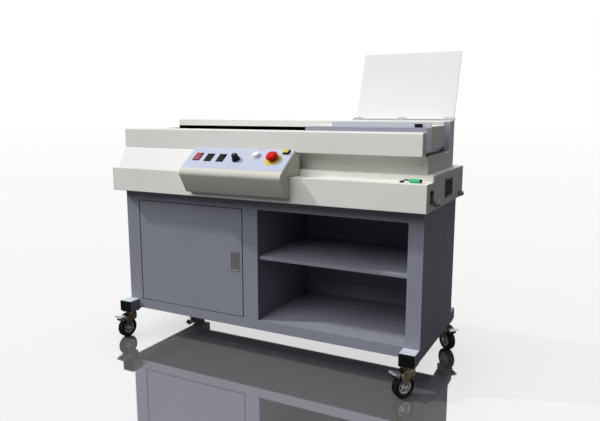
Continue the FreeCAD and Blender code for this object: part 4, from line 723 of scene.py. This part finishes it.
def make_fork(name, corner, stand):
    """The swivelling fork: ball race, drawn top, two straps, axle and the pedal's pin."""
    axle, pin = placed(TRAIL, 0, AXLE_Z, (90, "X")), placed(PIN_U, 0, PIN_Z, (90, "X"))
    parts = [(lathe_mm(RACE), "zinc_yellow", stand), (fork_shell(), "zinc_yellow", stand)]
    for side in (-1, 1):
        inner = -13.55 if side < 0 else 13.55 + STRAP_T
        parts.append((fork_foot(), "zinc_yellow", stand @ placed(0, inner, 0, (90, "X"))))
        outer, turn = side * YOKE_HALF, (-90 * side, "X")
        nut, rivet = placed(TRAIL, outer, AXLE_Z, turn), placed(PIN_U, outer, PIN_Z, turn)
        parts.append((hex_head(7, 4), "pedal_steel", stand @ nut))
        parts.append((hex_head(4.4, 1.6), "pedal_steel", stand @ rivet))
    for radius, place in ((AXLE_R, axle), (PIN_R, pin)):
        rod = lathe_mm(rod_mm(radius, -YOKE_HALF, YOKE_HALF), 24)
        parts.append((rod, "pedal_steel", stand @ place))
    piece(name + "_fork", name, parts, ("castor_fork_" + corner,), 0.8)


def make_wheel(name, corner, stand):
    """The wheel: a grooved rubber tyre on a nylon rim, spokes and a boss, and between the spokes
    a black web that paints the shade of the hub's openings.
    """
    spin = stand @ placed(TRAIL, 0, AXLE_Z, (90, "X"))
    tread = both_sides(TREAD_HALF) + TREAD_HALF[:1]
    rim = both_sides(RIM_HALF) + RIM_HALF[:1]
    boss = both_sides(BOSS_HALF) + BOSS_HALF[:1]
    parts = [
        (lathe_mm(tread, 72), "castor_rubber", spin),
        (lathe_mm(rim, 60), "hub_grey", spin),
        (lathe_mm(boss, 40), "hub_grey", spin),
        # black web between the spokes: painted shade in place of the hub's shaded openings
        (lathe_mm(ring_mm(8, 18.5, -1.2, 1.2), 48), "castor_rubber", spin),
    ]
    for number in range(SPOKES):
        turn = (360 / SPOKES * number + 18, "Z")
        centred = placed(0, 0, 0, turn) @ placed(0, 0, -SPOKE_T / 2)
        parts.append((plate_mm(SPOKE, SPOKE_T), "hub_grey", spin @ centred))
    wheel = name + "_wheel"
    piece(wheel, wheel, parts, ("castor_wheel_" + corner,), 0.7)


def make_pedal(name, corner, stand):
    """The brake pedal: a barrel on the pin, a rising slotted tread with a lip, and its shoe."""
    barrel = lathe_mm(ring_mm(3.1, 5.2, -PEDAL_HALF, PEDAL_HALF), 32)
    neck = block_mm((31, -PEDAL_HALF, 80.7), (47, PEDAL_HALF, 83.2))
    tip = block_mm((50, -8, 71.7), (60.2, 8, 85))
    shoe = plate_mm(SHOE, SHOE_W, {2: 1})
    tilt = stand @ placed(46.2, 0, 80.7, (-TREAD_RISE, "Y"))
    half_l, half_w = TREAD_L / 2, TREAD_W / 2
    slots = [hole_mm(11.2, y, 2.2, 3.6, 20) for y in (-10.5, 0, 10.5)]
    tread = pierced_plate(hole_mm(half_l, 0, half_l, half_w), slots, 2.5 * MM)
    parts = [
        (barrel, "pedal_steel", stand @ placed(PIN_U, 0, PIN_Z, (90, "X"))),
        (neck, "pedal_steel", stand),
        (tread, "pedal_steel", tilt),
    ]
    for number in range(4):
        rib = block_mm((2.0 + number * 1.6, -15, 2.3), (2.7 + number * 1.6, 15, 3.0))
        parts.append((rib, "pedal_steel", tilt))
    parts.append((block_mm((14.2, -half_w, -4.2), (16.6, half_w, 2.5)), "pedal_steel", tilt))
    for y in (-half_w, half_w - 2.2):
        parts.append((block_mm((1.0, y, -2.6), (16, y + 2.2, 0.2)), "pedal_steel", tilt))
    parts.append((tip, "black_plastic", stand))
    parts.append((shoe, "pedal_steel", stand @ placed(0, SHOE_W / 2, 0, (90, "X"))))
    pedal = name + "_pedal"
    piece(pedal, pedal, parts, ("castor_pedal_" + corner,), 0.7)


make_beams()
for corner in CORNERS:
    name = "castor_" + corner
    kingpin = Vector(JOINTS[name + "_swivel"]["pos_m"])
    axle = Vector(JOINTS[name + "_roll"]["pos_m"])
    # Each castor is drawn with X along its trail, then turned to where it stands.
    azimuth = math.atan2(axle.y - kingpin.y, axle.x - kingpin.x)
    stand = Matrix.Translation((kingpin.x, kingpin.y, 0)) @ Matrix.Rotation(azimuth, 4, "Z")
    make_fork(name, corner, stand)
    make_wheel(name, corner, stand)
    make_pedal(name, corner, stand)

# ---------------------------------------------------------------- console and its controls
PANEL_TILT = 35.6        # degrees
PANEL_T = 2.0
PANEL_L = 116.0
FILM_L = 106.0
FILM_T = 0.6             # how far the film stands off the panel
NOSE_BEYOND = 14.5       # from the panel's foot to the rolled nose's corner
NOSE_ROUND = 16.0
FOOT_ROUND = 5.0
FOOT_OUT = 70.0          # in front of the cabinet
FOOT_Z = 585.5
TRAY_FACE_OUT = 48.3
LEDGE_Z = 652.0
COVER_Z = 725.7          # under the front cover
PANEL_LOW, PANEL_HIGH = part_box("console_plate")
SHELL_LOW, SHELL_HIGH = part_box("console_shell")
SLOPE_Y = math.cos(math.radians(PANEL_TILT))
SLOPE_Z = math.sin(math.radians(PANEL_TILT))
PANEL_TOP = (PANEL_HIGH.y / MM - PANEL_T * SLOPE_Z, PANEL_HIGH.z / MM)
PANEL_W = (PANEL_HIGH.x - PANEL_LOW.x) / MM
# along and down the panel from its back left corner
ROCKERS = [(38.8, 52.0), (85.7, 54.0), (134.2, 54.0)]
SELECTOR = (195.2, 59.0)
BUTTON = (PANEL_W - 124.1, 37.0)
STOP = (PANEL_W - 56.0, 51.0)
PILOT = (PANEL_W - 22.5, 15.0)
MARK_ABOVE, MARK_BELOW = 31.0, 29.0     # from a control's middle to the lines beside it
MARK_HALF_W = 0.5
MARK_Z = (FILM_T - 0.1, FILM_T + 0.12)
TICKS = 11
TICK_STEP = 27.0         # degrees
# half widths along and down the panel
ROCKER_HOLE = (11.0, 16.5)
ROCKER_FLANGE = (14.0, 19.5)
ROCKER_BODY = (12.5, 18.0)
ROCKER_DEPTH = 14.0
ROCKER_FLANGE_T = 2.0
ROCKER_FLOOR_T = 1.5
SWITCH_HALF = 12.0       # switch blocks under the panel
SWITCH_LOW, SWITCH_HIGH = -22.0, -2.0
STOP_DISC_R = 28.0
STOP_UNDER = 10.5        # from the panel to the head's underside
GRIP_RIBS = 20
GRIP_R = 11.5
GRIP_ROOT_R = 10.6
GRIP_NARROW = 0.92       # its top's width over its foot's
SIDEWAYS = ((90, "Z"), (90, "X"))


def on_panel(spot, lift=0.0, *turns):
    """Stands a shape on the sloped panel: its own Z points off the panel, Y up the slope."""
    along, down = spot
    seat = placed(
        PANEL_LOW.x / MM + along,
        PANEL_TOP[0] - down * SLOPE_Y,
        PANEL_TOP[1] - down * SLOPE_Z,
        (PANEL_TILT, "X"),
    )
    return seat @ placed(0, 0, lift, *turns)


def make_console():
    """The folded console: a sloped top, a rolled nose, an undercut front, and the panel's film."""
    nose = PANEL_L + NOSE_BEYOND
    tip = (PANEL_TOP[0] - nose * SLOPE_Y, PANEL_TOP[1] - nose * SLOPE_Z)
    back, front = SHELL_HIGH.y / MM, FACE_Y / MM
    outline = [
        (back, LEDGE_Z),
        (back, COVER_Z),
        (PANEL_TOP[0], COVER_Z),
        PANEL_TOP,
        tip,
        (front - FOOT_OUT, FOOT_Z),
        (front - TRAY_FACE_OUT, FOOT_Z),
        (front - TRAY_FACE_OUT, LEDGE_Z),
    ]
    width = (SHELL_HIGH.x - SHELL_LOW.x) / MM
    case = plate_mm(outline, width, {4: NOSE_ROUND, 5: FOOT_ROUND})
    stand = placed(SHELL_LOW.x / MM, 0, 0, *SIDEWAYS)
    piece(
        "console_case",
        "machine",
        [(case, "console_cream", stand)],
        ("console_shell",),
        4.0,
        0.45,
    )
    sheet = [(0, -FILM_L), (PANEL_W, -FILM_L), (PANEL_W, 0), (0, 0)]
    film = plate_mm(sheet, PANEL_T + FILM_T, {0: 2.5, 1: 2.5, 2: 2.5, 3: 2.5})
    parts = [(film, "panel_blue", on_panel((0, 0), -PANEL_T))]
    low, high = MARK_Z
    for spot in (*ROCKERS, SELECTOR, BUTTON):
        for up, half in ((MARK_ABOVE, 7.0), (-MARK_BELOW, 9.0)):
            line = block_mm((-half, up - MARK_HALF_W, low), (half, up + MARK_HALF_W, high))
            parts.append((line, "panel_ink", on_panel(spot)))
    for number in range(TICKS):
        tick = block_mm((16.5, -0.4, low), (19.5, 0.4, high))
        turn = (TICK_STEP * number - 45, "Z")
        parts.append((tick, "panel_ink", on_panel(SELECTOR, 0, turn)))
    piece("console_panel", "machine", parts, ("console_plate",), 0.4)


def rocker_frame():
    """A rocker switch's flange and body, open for the rocker."""
    hole = hole_mm(0, 0, *ROCKER_HOLE)
    flange = pierced_plate(hole_mm(0, 0, *ROCKER_FLANGE), [hole], ROCKER_FLANGE_T * MM)
    body = pierced_plate(hole_mm(0, 0, *ROCKER_BODY), [hole], ROCKER_DEPTH * MM)
    bmesh.ops.translate(body, verts=body.verts, vec=(0, 0, -ROCKER_DEPTH * MM))
    along, down = ROCKER_BODY
    floor = block_mm((-along, -down, -ROCKER_DEPTH), (along, down, ROCKER_FLOOR_T - ROCKER_DEPTH))
    return [flange, body, floor]


def make_fittings():
    """What stays still on the panel: rocker frames, bushes, the stop's yellow disc, the pilot."""
    parts = []
    for spot in ROCKERS:
        parts += [(shape, "black_plastic", on_panel(spot)) for shape in rocker_frame()]
    half = SWITCH_HALF
    for spot in (SELECTOR, BUTTON, STOP):
        switch = block_mm((-half, -half, SWITCH_LOW), (half, half, SWITCH_HIGH))
        parts.append((switch, "black_plastic", on_panel(spot)))
    collar = [(11.3, 0), (14, 0), (14, 3.6), (13, 5), (11.3, 5), (11.3, 0)]
    parts.append((lathe_mm(collar), "white_plastic", on_panel(BUTTON)))
    rim = STOP_DISC_R
    disc = [(9.1, 0), (rim, 0), (rim, 1.4), (rim - 1, 2.2), (17, 2.5), (13, 3.4), (9.1, 3.4)]
    disc.append(disc[0])
    parts.append((lathe_mm(disc, 72), "stop_yellow", on_panel(STOP)))
    parts.append((block_mm((-11, -10, 0), (11, 10, 5)), "black_plastic", on_panel(PILOT)))
    lens = plate_mm([(-9, -8), (9, -8), (9, 8), (-9, 8)], 5, {0: 2, 1: 2, 2: 2, 3: 2})
    parts.append((lens, "stop_yellow", on_panel(PILOT, 5)))
    piece("panel_fittings", "machine", parts, ("control_fittings",), 0.8)


def make_selector():
    """The selector: a turned skirt, a ribbed grip that narrows upwards, and a pointer line."""
    outline = []
    for number in range(2 * GRIP_RIBS):
        turn = math.pi * number / GRIP_RIBS
        radius = GRIP_R if number % 2 else GRIP_ROOT_R
        outline.append((radius * math.cos(turn), radius * math.sin(turn)))
    grip = plate_mm(outline, 15.5)
    narrow = Matrix.Diagonal((GRIP_NARROW, GRIP_NARROW, 1.0, 1.0))
    top = [vert for vert in grip.verts if vert.co.z > 8 * MM]
    bmesh.ops.transform(grip, matrix=narrow, verts=top)
    bmesh.ops.translate(grip, verts=grip.verts, vec=(0, 0, 5.5 * MM))
    skirt = [(0, 0.8), (14, 0.8), (14, 3.6), (13.2, 5), (11.2, 6), (0, 6)]
    cap = [(0, 20.6), (8.4, 20.6), (9, 21.1), (9.2, 22), (0, 22)]
    seat = on_panel(SELECTOR)
    pointer = block_mm((-0.6, 2.5, 21.9), (0.6, 9.0, 22.15))
    parts = [
        (lathe_mm(skirt), "black_plastic", seat),
        (grip, "black_plastic", seat),
        (lathe_mm(cap), "black_plastic", seat),
        (lathe_mm(rod_mm(3, -19, 1), 24), "black_plastic", seat),
        (pointer, "white_plastic", seat),
    ]
    piece("selector_ribbed", "selector", parts, ("selector_knob",), 0.5)


def make_stop():
    """The emergency stop: a red mushroom head with a dished crown, on its stem."""
    head = [(0, 0), (17, 0), (19, 0.8), (19.9, 2.6), (20, 4.6), (19.2, 7.4), (16.8, 10.2),
            (13.4, 12.2), (10, 13), (8.6, 13), (6.4, 12.3), (0, 12)]
    stem = rod_mm(9, -15, STOP_UNDER + 1)
    parts = [
        (lathe_mm(head, 72), "stop_red", on_panel(STOP, STOP_UNDER)),
        (lathe_mm(stem, 40), "stop_red", on_panel(STOP)),
    ]
    piece("emergency_stop_head", "emergency_stop", parts, ("emergency_stop",), 0.4)


make_console()
make_fittings()
make_selector()
make_stop()


# ---------------------------------------------------------------- side lever and door pull
LEVER_POST = (507.0, -15.0, 652.3)      # the top of the lever's post, as at() takes it
LEVER_ROD_R = 2.0
PULL_T = 3.0
PULL_LIP_R = 1.9
PULL_BARREL_R = 2.9
PULL_BARREL_DOWN = 9.0


def rod_between(start, end, radius):
    """A round bar between two points in the frame's mm."""
    start, end = Vector(start), Vector(end)
    length = (end - start).length
    shape = lathe_mm(rod_mm(radius, 0, length), 24)
    turn = (end - start).to_track_quat("Z", "Y").to_matrix().to_4x4()
    return shape, Matrix.Translation(start * MM) @ turn


def make_lever():
    """The small lever on the ledge: a boss on its post, a cranked rod, a green grip and its cap."""
    pivot = at(*LEVER_POST) / MM
    level = pivot.z + 6
    knee = Vector((pivot.x + 13, pivot.y, pivot.z + 8.5))
    wrist = Vector((pivot.x + 24, pivot.y, level))
    boss = [(3.3, 0), (6, 0), (6, 4.2), (5.2, 5), (3.3, 5), (3.3, 0)]
    parts = [(lathe_mm(boss), "black_plastic", placed(*pivot))]
    for start, end in (
        (Vector((pivot.x + 4, pivot.y, pivot.z + 2.5)), knee),
        (knee, wrist),
        (wrist, Vector((pivot.x + 58, pivot.y, level))),
    ):
        shape, matrix = rod_between(start, end, LEVER_ROD_R)
        parts.append((shape, "black_plastic", matrix))
    grip = [(0, 0), (4.2, 0), (5.2, 1.2), (5.8, 5), (6, 14), (5.9, 24), (5.4, 30.5), (4.8, 32),
            (0, 32)]
    cap = [(0, 0), (4.9, 0), (5.1, 1), (5.1, 4.6), (4.2, 6), (0, 6)]
    along = (90, "Y")
    parts.append((lathe_mm(grip), "green_plastic", placed(pivot.x + 23, pivot.y, level, along)))
    parts.append((lathe_mm(cap), "black_plastic", placed(pivot.x + 55, pivot.y, level, along)))
    piece("side_lever_gripped", "side_lever", parts, ("side_lever",), 0.5)


def make_pull():
    """The door pull's paddle: a plate hung on its pin, with a bright rolled lip along its foot."""
    low, high = (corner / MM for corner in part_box("door_pull_paddle"))
    outline = [(low.x, low.z), (high.x, low.z), (high.x, high.z), (low.x, high.z)]
    leaf = plate_mm(outline, PULL_T, {0: 2, 1: 2, 2: 2, 3: 2})
    back, lip_y, lip_z = low.y + PULL_T, low.y + 1.4, low.z + 1.8
    pin_z = high.z - PULL_BARREL_DOWN
    lip = rod_between((low.x + 1, lip_y, lip_z), (high.x - 1, lip_y, lip_z), PULL_LIP_R)
    barrel = rod_between((low.x, back, pin_z), (high.x, back, pin_z), PULL_BARREL_R)
    parts = [(leaf, "nickel", placed(0, back, 0, (90, "X")))]
    parts += [(shape, "nickel", matrix) for shape, matrix in (lip, barrel)]
    piece("door_pull_leaf", "door_pull", parts, ("door_pull_paddle",), 0.6)


make_lever()
make_pull()


# ---------------------------------------------------------------- studio
FLOOR_R = 30.0
# Painted shade on the floor: its colour is darkened by ambient occlusion within this reach.
PAINTED_SHADE_REACH = 0.35     # how far round a point the floor looks for what stands over it
PAINTED_SHADE_LOWEST = 0.75
ROOM_LIGHT = 0.10
WARM_WHITE = (1.0, 0.99, 0.97)
COOL_WHITE = (0.97, 0.98, 1.0)
# name, the way its light travels, strength, width in degrees, colour
LAMPS = [
    ("key", (2.6, 1.0, -2.67), 2.2, 4.0, WARM_WHITE),
    ("fill", (0.2, 0.67, -0.71), 1.9, 50.0, COOL_WHITE),
    ("rear", (0.3, -0.8, -0.5), 0.9, 40.0, COOL_WHITE),
]
CAMERA_PLACE = (1042.1, -1688.2, 857.1)
CAMERA_YAW = 27.44
CAMERA_DOWN = 9.45
CAMERA_LENS = 35.83


def make_floor():
    """A pale polished floor that mirrors the machine and the white studio round it."""
    shape = bmesh.new()
    bmesh.ops.create_circle(shape, cap_ends=True, segments=96, radius=FLOOR_R)
    mesh = bpy.data.meshes.new("studio_floor")
    shape.to_mesh(mesh)
    shape.free()
    floor = bpy.data.objects.new("studio_floor", mesh)
    bpy.context.scene.collection.objects.link(floor)
    material, tree, shader, _ = new_material("polished_pale_floor", Metallic=0.87, Roughness=0.04)
    # Painted shade: ambient occlusion darkens the floor's colour close under the cabinet,
    # where the floor sees less of the white room.
    painted_shade_ao = add_node(tree, "ShaderNodeAmbientOcclusion", {"Distance": PAINTED_SHADE_REACH}, samples=8)
    # the painted shade as a factor on the floor's colour
    depth = add_node(
        tree,
        "ShaderNodeMapRange",
        {0: painted_shade_ao.outputs["AO"], 1: 0.0, 2: 1.0, 3: PAINTED_SHADE_LOWEST, 4: 1.0},
    )
    pale = add_node(
        tree,
        "ShaderNodeMix",
        {"Factor": depth.outputs[0], "A": (0.0, 0.0, 0.0, 1.0), "B": linear("#F2F2F3")},
        data_type="RGBA",
    )
    tree.links.new(pale.outputs["Result"], shader.inputs["Base Color"])
    mesh.materials.append(material)
    floor.visible_diffuse = False


def add_sun(name, towards, energy, spread, colour):
    """A distant lamp that no surface mirrors."""
    light = bpy.data.lights.new(name, "SUN")
    light.energy = energy
    light.angle = math.radians(spread)
    light.color = colour
    lamp = bpy.data.objects.new(name, light)
    lamp.rotation_euler = Vector(towards).to_track_quat("-Z", "Y").to_euler()
    lamp.visible_glossy = False
    bpy.context.scene.collection.objects.link(lamp)


def make_lights():
    """A key from above on the left, a broad soft fill from the front, a weak lamp behind, and a
    white room that the camera sees and the floor mirrors, but that lights the machine dimly."""
    for lamp in LAMPS:
        add_sun(*lamp)
    world = bpy.data.worlds.new("white_studio")
    bpy.context.scene.world = world
    world.use_nodes = True
    tree = world.node_tree
    tree.nodes.clear()
    direction = add_node(tree, "ShaderNodeTexCoord").outputs["Generated"]
    height = add_node(tree, "ShaderNodeSeparateXYZ", {"Vector": direction}).outputs["Z"]
    above = add_node(tree, "ShaderNodeMapRange", {0: height, 1: -0.03, 2: 0.0, 3: 0.0, 4: 1.0})
    path = add_node(tree, "ShaderNodeLightPath")
    # Ray Depth is 2 at the world after one bounce, so a second reflection sees the dim room.
    first = add_node(
        tree, "ShaderNodeMath", {0: path.outputs["Ray Depth"], 1: 2.5}, operation="LESS_THAN"
    )
    glossy = add_node(
        tree,
        "ShaderNodeMath",
        {0: path.outputs["Is Glossy Ray"], 1: first.outputs[0]},
        operation="MULTIPLY",
    )
    mirrored = add_node(
        tree,
        "ShaderNodeMath",
        {0: glossy.outputs[0], 1: above.outputs[0]},
        operation="MULTIPLY",
    )
    seen = add_node(
        tree,
        "ShaderNodeMath",
        {0: path.outputs["Is Camera Ray"], 1: mirrored.outputs[0]},
        operation="MAXIMUM",
    )
    room = add_node(
        tree, "ShaderNodeBackground", {"Color": (0.95, 0.97, 1.0, 1.0), "Strength": ROOM_LIGHT}
    )
    white = add_node(tree, "ShaderNodeBackground", {"Color": (1.0, 1.0, 1.0, 1.0), "Strength": 1.0})
    mixed = add_node(
        tree,
        "ShaderNodeMixShader",
        {0: seen.outputs[0], 1: room.outputs[0], 2: white.outputs[0]},
    )
    add_node(tree, "ShaderNodeOutputWorld", {"Surface": mixed.outputs[0]})
    world.cycles.sampling_method = "NONE"


def make_camera():
    """The camera stands in front of the machine's right end, a little below its top."""
    data = bpy.data.cameras.new("camera")
    data.lens = CAMERA_LENS
    data.sensor_width = 36.0
    camera = bpy.data.objects.new("camera", data)
    camera.location = at(*CAMERA_PLACE)
    camera.rotation_euler = (math.radians(90 - CAMERA_DOWN), 0.0, math.radians(CAMERA_YAW))
    bpy.context.scene.collection.objects.link(camera)
    bpy.context.scene.camera = camera


make_floor()
make_lights()
make_camera()
bpy.context.scene.view_settings.view_transform = "Standard"
